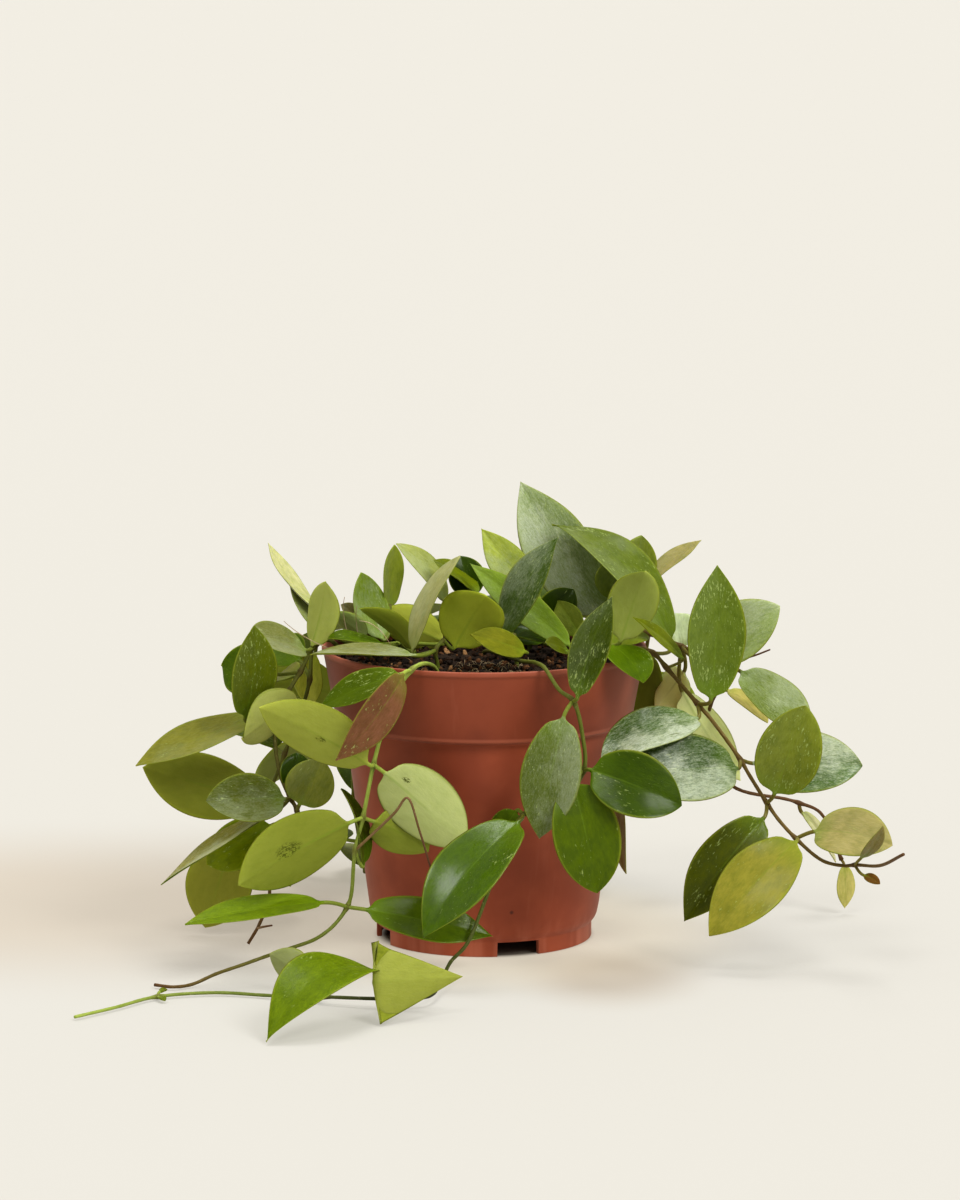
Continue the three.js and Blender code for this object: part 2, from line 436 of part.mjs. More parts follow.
// A leaf from its node on the stem: a round petiole that flattens into the blade. Each ring runs
// left edge, midrib and right edge of the upper side, and back along the under side.
function leafSolid({ foot, tip, wide, face, arch, bend }, from, place) {
  const [a, b] = [place(foot), place(tip)];
  const chord = new THREE.Vector3().subVectors(b, a);
  let side = new THREE.Vector3().crossVectors(chord, plain(face)).normalize();
  let pull = a.clone().lerp(b, 0.5)
    .addScaledVector(new THREE.Vector3().crossVectors(side, chord).normalize(), 2 * arch);
  if (bend) {
    pull = place(bend);
    side = new THREE.Vector3().crossVectors(pull.clone().sub(a), b.clone().sub(pull)).normalize();
    const facing = new THREE.Vector3().crossVectors(side, b.clone().sub(pull)).dot(plain(face));
    if (facing < 0) side.negate();
  }
  const midrib = new THREE.QuadraticBezierCurve3(a, pull, b);
  const up = new THREE.Vector3().crossVectors(side, midrib.getTangent(0)).normalize();
  const reach = from.distanceTo(a);
  const stalk = new THREE.QuadraticBezierCurve3(
    from, a.clone().addScaledVector(midrib.getTangent(0), -0.5 * reach), a);
  const rings = [];
  for (const t of reach < LEAF.longStalk ? [0] : [0, 0.5]) {
    const along = stalk.getTangent(t);
    const normal = up.clone().addScaledVector(along, -up.dot(along)).normalize();
    const across = new THREE.Vector3().crossVectors(along, normal);
    rings.push(LEAF.corners.map((turn) => {
      const angle = THREE.MathUtils.degToRad(turn);
      return stalk.getPoint(t)
        .addScaledVector(across, LEAF.petiole * Math.cos(angle))
        .addScaledVector(normal, LEAF.petiole * Math.sin(angle));
    }));
  }
  for (const t of wide < LEAF.small.under ? LEAF.small.stations : LEAF.stations) {
    const normal = new THREE.Vector3().crossVectors(side, midrib.getTangent(t)).normalize();
    const half = Math.max(halfWidth(t, wide), LEAF.least[Math.round(t)]);
    const thick = t === 0 ? LEAF.foot * LEAF.petiole : LEAF.thick / 2;
    const at = (across, below) => midrib.getPoint(t)
      .addScaledVector(side, across * half)
      .addScaledVector(normal, LEAF.cup * half * Math.abs(across) + below * thick);
    rings.push([at(-1, 1), at(0, 1), at(1, 1), at(1, -1), at(0, -1), at(-1, -1)]);
  }
  return skin(rings);
}

// The stem alone: it stands upright in the soil, then follows its route, and swells where leaves grow.
function stemTube({ place, root, route, leaves }) {
  const spots = route.map(place);
  const upright = STEM.upright.map((z) => new THREE.Vector3(root[0], root[1], SOIL.middle + z));
  const curve = new THREE.CatmullRomCurve3([...upright, ...spots], false, "centripetal");
  const steps = 2 * (upright.length + spots.length - 1); // two from each point to the next
  const leafless = 2 * (upright.length - 1);
  const radii = Array.from({ length: steps + 1 }, (_, i) => {
    const swell = leaves.some(({ node }) => 2 * (upright.length + node) === i) ? STEM.swell : 1;
    const share = Math.max(0, i - leafless) / (steps - leafless);
    return THREE.MathUtils.lerp(STEM.foot, STEM.tip, share) * swell;
  });
  return skin(tube(curve.getPoints(steps), radii, STEM.sides));
}

function stemSolid(one) {
  const { place, route, leaves, twigs } = one;
  const spots = route.map(place);
  const parts = [stemTube(one)];
  for (const grown of leaves) parts.push(leafSolid(grown, spots[grown.node], place));
  for (const [thick, points] of twigs) {
    const bent = new THREE.CatmullRomCurve3(points.map(place));
    const count = 2 * (points.length - 1);
    parts.push(skin(tube(bent.getPoints(count), Array(count + 1).fill(thick), STEM.sides)));
  }
  return Manifold.union(parts).simplify(TRIM);
}

// The assembly

const plant = new THREE.Group();
plant.name = "potted_hoya";
plant.add(meshOf("pot", pot(), LOOK.pot));
plant.add(meshOf("soil", soil(), LOOK.soil));
for (const one of STEMS) plant.add(meshOf(one.name, stemSolid(one), LOOK.foliage));

export default plant;
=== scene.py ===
# %% [markdown]
# # A trailing hoya in its nursery pot
# The real plant stands in a 12 cm plastic pot, and its vines spill over the rim and down to the table.
# Nearly all of its look is in the leaves: thick, waxy, flecked with silver above and plain pale green
# below. So this lesson builds one leaf with care, as a surface worked out from a few numbers, and then
# grows every vine from a list of where its leaves sit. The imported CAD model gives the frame: each piece
# made here stands in the place of one CAD node and keeps its form. Only the fine roots are added.

# %% The frame
import math
from collections import namedtuple
from itertools import accumulate

import bpy
import numpy as np
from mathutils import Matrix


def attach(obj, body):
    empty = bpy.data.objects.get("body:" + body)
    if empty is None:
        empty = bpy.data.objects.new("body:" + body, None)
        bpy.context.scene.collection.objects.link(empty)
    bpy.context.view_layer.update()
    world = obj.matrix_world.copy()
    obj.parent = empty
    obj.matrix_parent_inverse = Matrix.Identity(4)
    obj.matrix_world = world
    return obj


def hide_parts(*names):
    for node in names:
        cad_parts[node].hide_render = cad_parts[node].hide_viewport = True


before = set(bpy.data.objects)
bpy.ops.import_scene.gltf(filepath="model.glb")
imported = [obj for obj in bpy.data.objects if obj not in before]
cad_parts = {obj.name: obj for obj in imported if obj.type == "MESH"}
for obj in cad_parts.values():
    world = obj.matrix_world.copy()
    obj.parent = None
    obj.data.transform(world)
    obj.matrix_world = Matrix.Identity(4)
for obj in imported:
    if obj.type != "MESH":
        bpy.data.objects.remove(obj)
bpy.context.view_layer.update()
MM = 0.001  # shapes are worked out in millimetres; meshes, and so Object coordinates, are in metres
BODY = "root"
print("nodes:", ", ".join(sorted(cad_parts)))

# %% [markdown]
# ## The viewpoint
# The picture was taken from two metres away with a long lens, a little above the plant. A long lens
# keeps the pot's sides nearly straight, so the distance matters as much as the angle.

# %% Camera
EYE = np.array([-1.5, -2000.0, 448.0])
TILT_DOWN = math.radians(9.15)
LENS, SENSOR = 164.6, 36.0  # millimetres, along the frame's longer side
SIGHT_END = 100.0  # metres

camera = bpy.data.objects.new("camera", bpy.data.cameras.new("camera"))
bpy.context.scene.collection.objects.link(camera)
camera.location = EYE * MM
camera.rotation_euler = (math.pi / 2 - TILT_DOWN, 0, 0)
camera.data.lens = LENS
camera.data.sensor_width = SENSOR
camera.data.clip_end = SIGHT_END
bpy.context.scene.camera = camera
bpy.context.scene.view_settings.view_transform = "Standard"
bpy.context.scene.view_settings.look = "Medium High Contrast"
print("camera at", tuple(camera.location))

# %% [markdown]
# ## Shader maths as plain expressions
# A material in Blender is a graph of nodes, which is slow to write and hard to read. Here a socket is
# wrapped in a small class, so that `1 - mask * 0.5` adds its Math nodes by itself. Colours can't go
# through Math nodes, which would turn them grey, so they have a mixing method of their own. In the
# materials below, the two numbers in an `ease` are the levels between which a look sets in, and the
# factor after it is how much of that look shows where it is full.

# %% A wrapped socket
class Socket:
    """An output of a node. Each arithmetic operator on it adds one Math node."""

    def __init__(self, paint, output):
        self.paint = paint
        self.output = output

    def math(self, operation, *values):
        return self.paint.node("ShaderNodeMath", {"operation": operation}, dict(enumerate(values)))

    def __add__(self, other):
        return self.math("ADD", self, other)

    def __radd__(self, other):
        return self.math("ADD", other, self)

    def __sub__(self, other):
        return self.math("SUBTRACT", self, other)

    def __rsub__(self, other):
        return self.math("SUBTRACT", other, self)

    def __mul__(self, other):
        return self.math("MULTIPLY", self, other)

    def __rmul__(self, other):
        return self.math("MULTIPLY", other, self)

    def __truediv__(self, other):
        return self.math("DIVIDE", self, other)

    def __rtruediv__(self, other):
        return self.math("DIVIDE", other, self)

    def __abs__(self):
        return self.math("ABSOLUTE", self)

    def root(self):
        """The square root."""
        return self.math("SQRT", self)


# %% A material under construction
class Paint:
    """A material, and the methods that add nodes to it. What never changes is set on the shader."""

    def __init__(self, name, **constants):
        self.material = bpy.data.materials.new(name)
        self.material.use_nodes = True
        self.tree = self.material.node_tree
        self.shader = self.tree.nodes["Principled BSDF"]
        for socket, value in constants.items():
            self.shader.inputs[socket.replace("_", " ")].default_value = value

    def node(self, kind, settings, inputs, out=0):
        """A node of any kind: its settings are set first, then each input is a value or a link."""
        made = self.tree.nodes.new(kind)
        for key, value in settings.items():
            setattr(made, key, value)
        for key, value in inputs.items():
            if isinstance(value, Socket):
                self.tree.links.new(value.output, made.inputs[key])
            else:
                made.inputs[key].default_value = value
        return Socket(self, made.outputs[out])

    def mark(self, name):
        """The three numbers that a mesh carries under a name, as one vector."""
        return self.node("ShaderNodeAttribute", {"attribute_name": name}, {}, "Vector")

    def split(self, vector):
        """A vector's three parts, each from a node of its own."""
        return [self.node("ShaderNodeSeparateXYZ", {}, {0: vector}, axis) for axis in range(3)]

    def join(self, x, y, z):
        return self.node("ShaderNodeCombineXYZ", {}, {0: x, 1: y, 2: z})

    def place(self):
        return self.node("ShaderNodeTexCoord", {}, {}, "Object")

    def noise(self, where, scale, detail=3.0, rough=0.55):
        inputs = {"Vector": where, "Scale": scale, "Detail": detail, "Roughness": rough}
        return self.node("ShaderNodeTexNoise", {}, inputs)

    def grain(self, axes, wide, long, detail, rough=0.55):
        """Noise on a piece's own two directions, as many steps a millimetre across it and along it."""
        across, along, number = axes
        return self.noise(self.join(across * wide, along * long, number), 1.0, detail, rough)

    def ease(self, value, low, high):
        """0 below low, 1 above high, and a smooth step between; high may be the lower of the two."""
        settings = {"interpolation_type": "SMOOTHSTEP"}
        inputs = {"Value": value, "From Min": low, "From Max": high}
        return self.node("ShaderNodeMapRange", settings, inputs)

    def mix(self, share, first, second, blend="MIX"):
        """One colour turned into another by a share."""
        settings = {"data_type": "RGBA", "blend_type": blend}
        return self.node("ShaderNodeMix", settings, {0: share, 6: first, 7: second}, 2)

    def finish(self, **inputs):
        """Links what varies to the shader. A height becomes a bump on its normal."""
        height = inputs.pop("height", None)
        depth = inputs.pop("depth", 1.0)
        if height is not None:
            relief = {"Height": height, "Distance": depth * MM, "Strength": 1.0}
            inputs["Normal"] = self.node("ShaderNodeBump", {}, relief)
        for key, value in inputs.items():
            self.tree.links.new(value.output, self.shader.inputs[key.replace("_", " ")])
        print("material", self.material.name, "has", len(self.tree.nodes), "nodes")
        return self.material


def shade(red, green, blue):
    """A colour as a painter would read it off a screen, 0 to 255, turned into linear light."""
    level = np.array([red, green, blue]) / 255
    return np.where(level < 0.04045, level / 12.92, ((level + 0.055) / 1.055) ** 2.4)


def solid_colour(*rgb):
    """The same with full cover, as a colour socket takes it."""
    return (*shade(*rgb), 1.0)


# %% [markdown]
# ## Surfaces from rings
# Every piece here is a stack of closed rings: round the pot, round a stem, round the section of a leaf.
# The rings are worked out as whole arrays, and one class joins neighbours with four-sided faces, closes
# the two ends and carries along whatever the material needs to know at each point.

# %% Gathering rings into a mesh
class Shell:
    """Closed stacks of rings, gathered into one mesh. Seen from the last ring of a stack, each ring
    runs against the clock, so the faces point outwards."""

    def __init__(self):
        self.points = []
        self.faces = []
        self.slots = []
        self.marks = {}
        self.count = 0

    def add(self, rings, slot=0, **marks):
        """One stack of rings: rows times points round times three. A mark is three numbers for each
        point, for each ring or for the whole stack."""
        rows, around = rings.shape[:2]
        index = self.count + np.arange(rows * around).reshape(rows, around)
        beside = np.roll(index, -1, axis=1)
        quads = np.stack([index[:-1], beside[:-1], beside[1:], index[1:]], axis=-1).reshape(-1, 4)
        faces = quads.tolist() + [index[0, ::-1].tolist(), index[-1].tolist()]
        self.faces += faces
        self.slots += [slot] * len(faces)
        self.points.append(rings.reshape(-1, 3))
        self.count += rows * around
        for key, value in marks.items():
            full = np.broadcast_to(value, (rows, around, 3)).reshape(-1, 3)
            self.marks.setdefault(key, []).append(full)

    def piece(self, name, materials, slot, *nodes):
        """All the stacks as one object, which rides the pot's body and replaces the CAD nodes given."""
        mesh = bpy.data.meshes.new(name)
        mesh.from_pydata((np.concatenate(self.points) * MM).tolist(), [], self.faces)
        for key, values in self.marks.items():
            mark = mesh.attributes.new(key, "FLOAT_VECTOR", "POINT")
            mark.data.foreach_set("vector", np.concatenate(values).astype(np.float32).ravel())
        mesh.polygons.foreach_set("material_index", self.slots)
        mesh.polygons.foreach_set("use_smooth", [True] * len(self.faces))
        for material in materials:
            mesh.materials.append(material)
        made = bpy.data.objects.new(name, mesh)
        bpy.context.scene.collection.objects.link(made)
        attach(made, BODY)
        if nodes:
            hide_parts(*nodes)
        print(name, "has", len(self.faces), "faces")
        return made


def unit(vectors):
    """Each vector divided by its own length."""
    return vectors / np.linalg.norm(vectors, axis=-1, keepdims=True)


def step(values, low, high):
    """The smooth step 3 x squared minus 2 x cubed, where x goes from 0 at low to 1 at high."""
    x = np.clip((values - low) / (high - low), 0, 1)
    return x * x * (3 - 2 * x)


def run_along(line):
    """How far along a line each of its points is: the sum of the steps before it."""
    return np.concatenate([[0], np.cumsum(np.linalg.norm(np.diff(line, axis=0), axis=1))])


# %% [markdown]
# ## The table and the light
# The plant stands on a plain cream sweep under large, soft studio lamps, so its shadows are faint and
# broad. One wide lamp hangs overhead, a second stands to the right of the camera, and a weaker one to
# its left keeps that side from going dull. The pale surroundings fill in the rest. The sweep itself
# glows a little, as a lit table does, which washes the shadows out as far as in the picture. Shadows
# are also painted into its colour: a warm shade round the pot's foot, a broad soft shadow behind the
# plant on the left, and a browner one under the leaves that hang at the front right.

# %% Floor
FLOOR_REACH = 14000.0
FLOOR_TONE = solid_colour(141, 139, 134)
PAINTED_WARM_SHADE = solid_colour(154, 149, 138)
SHADOW_TAN = solid_colour(135, 128, 118)
SHADOW_BROWN = solid_colour(112, 98, 80)
GLOW = 1.3  # with it the sweep gives off about as much light as it throws back
PAINTED_SHADOWS = [  # metres: where each painted shadow lies, how far it reaches, how much of it shows, its tone
    {"x": -0.17, "y": 0.05, "wide": 0.26, "deep": 0.17, "share": 0.9, "tone": SHADOW_TAN},
    {"x": 0.045, "y": -0.07, "wide": 0.042, "deep": 0.062, "share": 0.42, "tone": SHADOW_BROWN},
]
SHADOW_FADE = (1.0, 0.2)  # shares of a painted shadow's reach: it is gone at the first and full at the second
WARM_SHADE_RING = (0.11, 0.055)  # metres from the pot's axis: the painted warm shade round the pot is gone, and full
UNDER_POT = (0.042, 0.036)  # the same for the dark floor below the pot, which gives off no light

floor_mesh = bpy.data.meshes.new("floor")
corners = np.array([[-1, -1, 0], [1, -1, 0], [1, 1, 0], [-1, 1, 0]]) * FLOOR_REACH * MM
floor_mesh.from_pydata(corners.tolist(), [], [[0, 1, 2, 3]])
floor = bpy.data.objects.new("floor", floor_mesh)
bpy.context.scene.collection.objects.link(floor)

paint = Paint("cream_paper", Roughness=0.85, Specular_IOR_Level=0.2, Emission_Strength=GLOW)
where = paint.place()
x, y, _ = paint.split(where)
reach = (x * x + y * y).root()
# painted warm shade on the sweep round the pot's foot
paper_and_shadows = paint.mix(paint.ease(reach, *WARM_SHADE_RING), FLOOR_TONE, PAINTED_WARM_SHADE)
# each painted shadow turns the sweep's colour towards its own tone
for shadow_patch in PAINTED_SHADOWS:
    across, back = (x - shadow_patch["x"]) / shadow_patch["wide"], (y - shadow_patch["y"]) / shadow_patch["deep"]
    middle = paint.ease((across * across + back * back).root(), *SHADOW_FADE)
    paper_and_shadows = paint.mix(middle * shadow_patch["share"], paper_and_shadows, shadow_patch["tone"])
under_pot = paint.ease(reach, *UNDER_POT)
glow = paint.mix(under_pot, paper_and_shadows, solid_colour(0, 0, 0))
floor_mesh.materials.append(paint.finish(Base_Color=paper_and_shadows, Emission_Color=glow))

# %% Lamps
Lamp = namedtuple("Lamp", "name turn height strength spread")
LAMPS = [
    # turn: degrees from straight in front towards the right; height: degrees above the table
    Lamp("overhead", 160, 78, 1.15, 26),
    Lamp("front_left", -28, 56, 0.6, 18),
    Lamp("front_right", 40, 42, 1.6, 24),
]
LAMP_TONE = (0.99, 1.0, 1.0)
SKY = (1.0, 0.955, 0.87)
SKY_STRENGTH = 0.58

for lamp in LAMPS:
    made = bpy.data.objects.new(lamp.name, bpy.data.lights.new(lamp.name, "SUN"))
    bpy.context.scene.collection.objects.link(made)
    made.data.energy = lamp.strength
    made.data.angle = math.radians(lamp.spread)
    made.data.color = LAMP_TONE
    made.rotation_euler = (math.radians(90 - lamp.height), 0, math.radians(lamp.turn))

world = bpy.data.worlds.new("studio")
world.use_nodes = True
world.node_tree.nodes["Background"].inputs["Color"].default_value = (*SKY, 1)
world.node_tree.nodes["Background"].inputs["Strength"].default_value = SKY_STRENGTH
bpy.context.scene.world = world
print(len(LAMPS), "lamps and a pale sky")

# %% [markdown]
# ## The pot
# A nursery pot is blown or moulded from one thin sheet of plastic, so it is a single turned wall: a
# foot ring with four drainage gaps, a tapering body, and a wide collar that stiffens the rim. A lathe
# profile, carried round the axis, gives all of it. Small curves at each corner catch the light as the
# moulded edges do. The gaps are cut by lifting the foot wherever the turn lies inside one.

# %% Pot dimensions
POT = {
    "height": 109.0,
    "rim": 60.0,
    "collar_foot": 54.9,
    "collar_foot_z": 82.2,
    "neck": 51.8,
    "base": 42.7,
    "base_z": 12.0,
    "foot": 40.0,
    "wall": 1.4,
    "foot_wall": 1.8,
    "floor_z": 6.2,
    "floor": 1.8,
}
NOTCH = {"count": 4, "first": 18.5, "arc": 23.0, "height": 5.3}
HUB = 0.6  # the radius of the small disc that closes a turned shape at the axis


def eased(corners, reach, steps=6, most=0.45):
    """A line through corners, each rounded: between the two points that lie reach before and after a
    corner, it follows the curve (1-t) squared a + 2t(1-t) corner + t squared b. A reach takes no more
    than the share most of the shorter side."""
    corners = np.asarray(corners, float)
    middle = corners[1:-1]
    before, after = corners[:-2] - middle, corners[2:] - middle
    room = np.minimum(np.linalg.norm(before, axis=1), np.linalg.norm(after, axis=1)) * most
    reach = np.minimum(np.asarray(reach, float), room)[:, None]
    start, end = middle + unit(before) * reach, middle + unit(after) * reach
    t = np.linspace(0, 1, steps)[None, :, None]
    arcs = (1 - t) ** 2 * start[:, None] + 2 * t * (1 - t) * middle[:, None] + t**2 * end[:, None]
    return np.vstack([corners[:1], arcs.reshape(-1, 2), corners[-1:]])


def turned(profile, turns):
    """A profile of radius and height carried round the upright axis: radius times sine, minus radius
    times cosine, height, so that a turn of 0 faces the front."""
    radius, height = profile[:, :1], profile[:, 1:]
    flat = np.ones_like(turns)[None]
    return np.stack([radius * np.sin(turns), -radius * np.cos(turns), height * flat], axis=-1)


# %% Pot mesh
def pot_profile():
    """The wall's section, from under the floor's middle up the outside, over the rim and down to the
    floor's middle again. Each corner is a radius, a height and how far its rounding reaches."""
    p, wall, top, neck_z = POT, POT["wall"], POT["height"], POT["collar_foot_z"]
    inner_foot, under, floor = p["foot"] - p["foot_wall"], p["floor_z"], p["floor_z"] + p["floor"]
    corners = np.array([
        (HUB, under, 0),
        (inner_foot, under, 1.2),
        (inner_foot, 0.0, 0.35),
        (p["foot"], 0.0, 0.35),
        (p["foot"], under - 0.4, 0.5),
        (p["base"] - 0.9, under + 1.8, 1.6),
        (p["base"], p["base_z"], 6),
        (p["neck"], neck_z - 1.2, 0.7),
        (p["collar_foot"], neck_z, 0.6),
        (p["rim"] - 0.7, top - 2.6, 0.6),
        (p["rim"], top - 1.6, 0.5),
        (p["rim"], top, 0.55),
        (p["rim"] - wall, top, 0.5),
        (p["collar_foot"] - wall, neck_z + 0.8, 1),
        (p["neck"] - wall, neck_z - 1.6, 1),
        (p["base"] - wall, p["base_z"] + 0.2, 1),
        (p["foot"] - 0.6, floor, 1),
        (HUB, floor, 0),
    ])
    return eased(corners[:, :2], corners[1:-1, 2])


# %% Drainage gaps
GAP_MIDDLES = np.radians(NOTCH["first"] + np.arange(NOTCH["count"]) * 360 / NOTCH["count"])
GAP_HALF = math.radians(NOTCH["arc"] / 2)


def apart(turns, spots):
    """How far each turn is from the nearest of some spots, the short way round."""
    return np.abs((turns[:, None] - spots + np.pi) % (2 * np.pi) - np.pi).min(axis=1)


def notched_turns(count=208, edge=0.0012):
    """Evenly spread turns, with a pair close together at each side of each drainage gap."""
    sides = np.concatenate([GAP_MIDDLES - GAP_HALF, GAP_MIDDLES + GAP_HALF])
    even = np.linspace(0, 2 * np.pi, count, endpoint=False)
    even = even[apart(even, sides) > 4 * edge]
    return np.sort(np.concatenate([even, sides - edge, sides + edge]) % (2 * np.pi))


turns = notched_turns()
pot_rings = turned(pot_profile(), turns)
in_gap = apart(turns, GAP_MIDDLES) < GAP_HALF
lifted = np.maximum(pot_rings[..., 2], NOTCH["height"])
pot_rings[..., 2] = np.where(in_gap[None], lifted, pot_rings[..., 2])
print("the wall has", len(pot_rings), "rings of", len(turns), "points")

# %% [markdown]
# The plastic is matt and a little uneven: cloudy patches from the moulding, a pale bloom along the rim
# where it has been handled, and dust and dark specks of soil near the foot. Water that ran over the rim
# left faint upright marks. The collar carries painted shade that keeps it no lighter than the body, and
# a thin painted highlight runs along its lower edge.

# %% Pot material
CLAY = solid_colour(165, 83, 54)
CLAY_DEEP = solid_colour(142, 68, 43)
# paler clay for the rim's wear, dust and water marks, and for the painted highlight on the collar's edge
CLAY_WEAR_AND_HIGHLIGHT = solid_colour(186, 112, 88)
SPECK = solid_colour(70, 34, 26)
COLLAR_PAINTED_SHADE = (0.64, 0.62, 0.6, 1.0)  # painted shade: keeps the collar no lighter than the body
# metres above the table, each from where a look is absent to where it is full
COLLAR_SHADE_Z, RIM_Z, DUST_Z = (0.081, 0.084), (0.1055, 0.1085), (0.016, 0.001)
# the painted highlight along the collar's lower edge: its height, and how far from it it is absent and
# full
COLLAR_EDGE_Z, COLLAR_EDGE = 0.0828, (0.0012, 0.0004)
POT_GRAIN = {"cloud": 28.0, "grain": 900.0, "dots": 95.0, "sparse": 33.0}  # steps per metre
RUN_GRAIN = {"across": 150, "up": 9}

paint = Paint("terracotta_plastic", Specular_IOR_Level=0.35, Sheen_Weight=0.05)
where = paint.place()
x, y, z = paint.split(where)
cloud = paint.noise(where, POT_GRAIN["cloud"], 4.0)
grain = paint.noise(where, POT_GRAIN["grain"], 2.0)
streams = paint.join(x * RUN_GRAIN["across"], y * RUN_GRAIN["across"], z * RUN_GRAIN["up"])
runs = paint.noise(streams, 1.0, 3.0)
colour = paint.mix(paint.ease(cloud, 0.35, 0.68), CLAY, CLAY_DEEP)
# painted shade over the collar, above the height where it begins
colour = paint.mix(paint.ease(z, *COLLAR_SHADE_Z) * 0.8, colour, COLLAR_PAINTED_SHADE, "MULTIPLY")
rim_wear = paint.ease(z, *RIM_Z) * paint.ease(cloud, 0.3, 0.6) * 0.45
# painted highlight: a thin paler band along the collar's lower edge
collar_edge_highlight = paint.ease(abs(z - COLLAR_EDGE_Z), *COLLAR_EDGE) * 0.35
foot_dust = paint.ease(z, *DUST_Z) * paint.ease(runs, 0.4, 0.65) * 0.5
colour = paint.mix(rim_wear + collar_edge_highlight + foot_dust, colour, CLAY_WEAR_AND_HIGHLIGHT)
colour = paint.mix(paint.ease(runs, 0.6, 0.74) * 0.1, colour, CLAY_WEAR_AND_HIGHLIGHT)
cells = {"Vector": where, "Scale": POT_GRAIN["dots"]}
dots = paint.node("ShaderNodeTexVoronoi", {"feature": "F1"}, cells)
sparse = paint.ease(paint.noise(where, POT_GRAIN["sparse"], 1.0), 0.58, 0.62)
colour = paint.mix(paint.ease(dots, 0.11, 0.05) * sparse * 0.8, colour, SPECK)
pot_plastic = paint.finish(
    Base_Color=colour,
    Roughness=0.5 + cloud * 0.14,
    height=cloud * 0.5 + grain * 0.08,
    depth=0.25,
)

pot = Shell()
pot.add(pot_rings)
pot.piece("pot_wall", [pot_plastic], "pot", "pot")

# %% [markdown]
# ## The potting mix
# The soil is a dark, loose mix of peat and bark, level with a point a few millimetres below the rim.
# The top is a turned disc with a rough relief, and the crumbs and bark chips that lie on it are many
# copies of a small lump, each stretched, turned and tinted in its own way.

# %% Soil mesh
SOIL = {"middle": 104.5, "edge": 102.8, "gap": 0.3, "relief": 0.55}
RIPPLE = {"coarse": 9.0, "fine": 3.2, "fine_share": 0.6, "stretch": (0.6, 1.8)}
chance = np.random.default_rng(31)


def ripples(x, y, length, waves=26, seed=5):
    """Rough relief between about -1 and 1: the mean of many waves of random direction, phase and
    length, each the sine of its direction dotted with the place."""
    draw = np.random.default_rng(seed)
    turn, phase = draw.uniform(0, 2 * np.pi, (2, waves))
    pace = 2 * np.pi / (length * draw.uniform(*RIPPLE["stretch"], waves))
    inner = x[..., None] * np.cos(turn) * pace + y[..., None] * np.sin(turn) * pace + phase
    return np.sin(inner).sum(axis=-1) / math.sqrt(waves)


def soil_height(x, y):
    """The dome from its middle down to its edge, with coarse and fine relief on it."""
    out = np.hypot(x, y) / POT["rim"]
    dome = SOIL["middle"] - (SOIL["middle"] - SOIL["edge"]) * out**2
    coarse, fine = ripples(x, y, RIPPLE["coarse"]), ripples(x, y, RIPPLE["fine"], seed=8)
    return dome + SOIL["relief"] * (coarse + RIPPLE["fine_share"] * fine)


def soil_rings(count=168, rows=64):
    """The mix follows the pot's inner wall with a small gap, up to an edge below the rim, and its top
    is a disc at the height of the relief."""
    p = POT
    inner = lambda radius: radius - p["wall"] - SOIL["gap"]
    base = p["floor_z"] + p["floor"] + SOIL["gap"]
    slope = (p["rim"] - p["collar_foot"]) / (p["height"] - p["collar_foot_z"])
    edge = inner(p["collar_foot"] + slope * (SOIL["edge"] - p["collar_foot_z"])) - 0.3
    lower = [
        (HUB, base),
        (p["foot"] - 0.8 - SOIL["gap"], base),
        (inner(p["base"]), p["base_z"] + 0.5),
        (inner(p["neck"]), p["collar_foot_z"] - 1.4),
        (inner(p["collar_foot"]), p["collar_foot_z"] + 1),
        (edge, SOIL["edge"] - 1.2),
    ]
    top = np.stack([np.linspace(edge, HUB, rows), np.full(rows, SOIL["middle"])], axis=1)
    rings = turned(np.vstack([lower, top]), np.linspace(0, 2 * np.pi, count, endpoint=False))
    x, y = rings[len(lower):, :, 0], rings[len(lower):, :, 1]
    rings[len(lower):, :, 2] = soil_height(x, y)
    return rings


# %% Crumbs and chips
LUMP = {"rings": 5, "sides": 7, "ends": 0.92, "dents": (0.72, 1.15)}


def lumps(places, sizes, seed):
    """Small stones: each is a sphere of rings, dented at random, stretched to its three sizes, turned
    by a random rotation and moved to its place."""
    draw = np.random.default_rng(seed)
    rise = np.linspace(-LUMP["ends"], LUMP["ends"], LUMP["rings"])[:, None]
    turn = np.linspace(0, 2 * np.pi, LUMP["sides"], endpoint=False)[None]
    flat = np.sqrt(1 - rise**2)
    ball = np.stack([flat * np.cos(turn), flat * np.sin(turn), rise + 0 * turn], axis=-1)
    dented = ball * draw.uniform(*LUMP["dents"], (len(places), *ball.shape[:2], 1))
    axes, _ = np.linalg.qr(draw.normal(size=(len(places), 3, 3)))
    axes *= np.sign(np.linalg.det(axes))[:, None, None]
    spun = np.einsum("nrtk,nkj->nrtj", dented * sizes[:, None, None, :], axes)
    return spun + places[:, None, None, :]


BARK = [shade(66, 43, 27), shade(43, 29, 19), shade(112, 76, 46), shade(31, 21, 15)]
SOIL_TONE = shade(49, 34, 22)
CRUMBS = {"count": 1500, "reach": 54.0, "size": (0.35, 1.25), "stretch": (0.6, 1.35), "raised": 0.35}
CHIP = shade(176, 134, 92)
CHIP_SHAPE, CHIP_RAISED = np.array([[0.62, 0.42, 0.3]]), 0.5
CHIPS = [
    # the pale bark chips that show in the picture: place across and towards the back, and size
    (-13.7, 7, 3.4), (-7, 5, 3.0), (-12.3, -26, 2.6), (-22, -30, 2.4), (5, -44, 1.9), (14, -40, 1.8),
    (24, -12, 2.2), (-34, -14, 2.6), (-3, 30, 3.2), (20, 36, 2.8), (-26, 24, 2.6), (44, 4, 2.2),
]

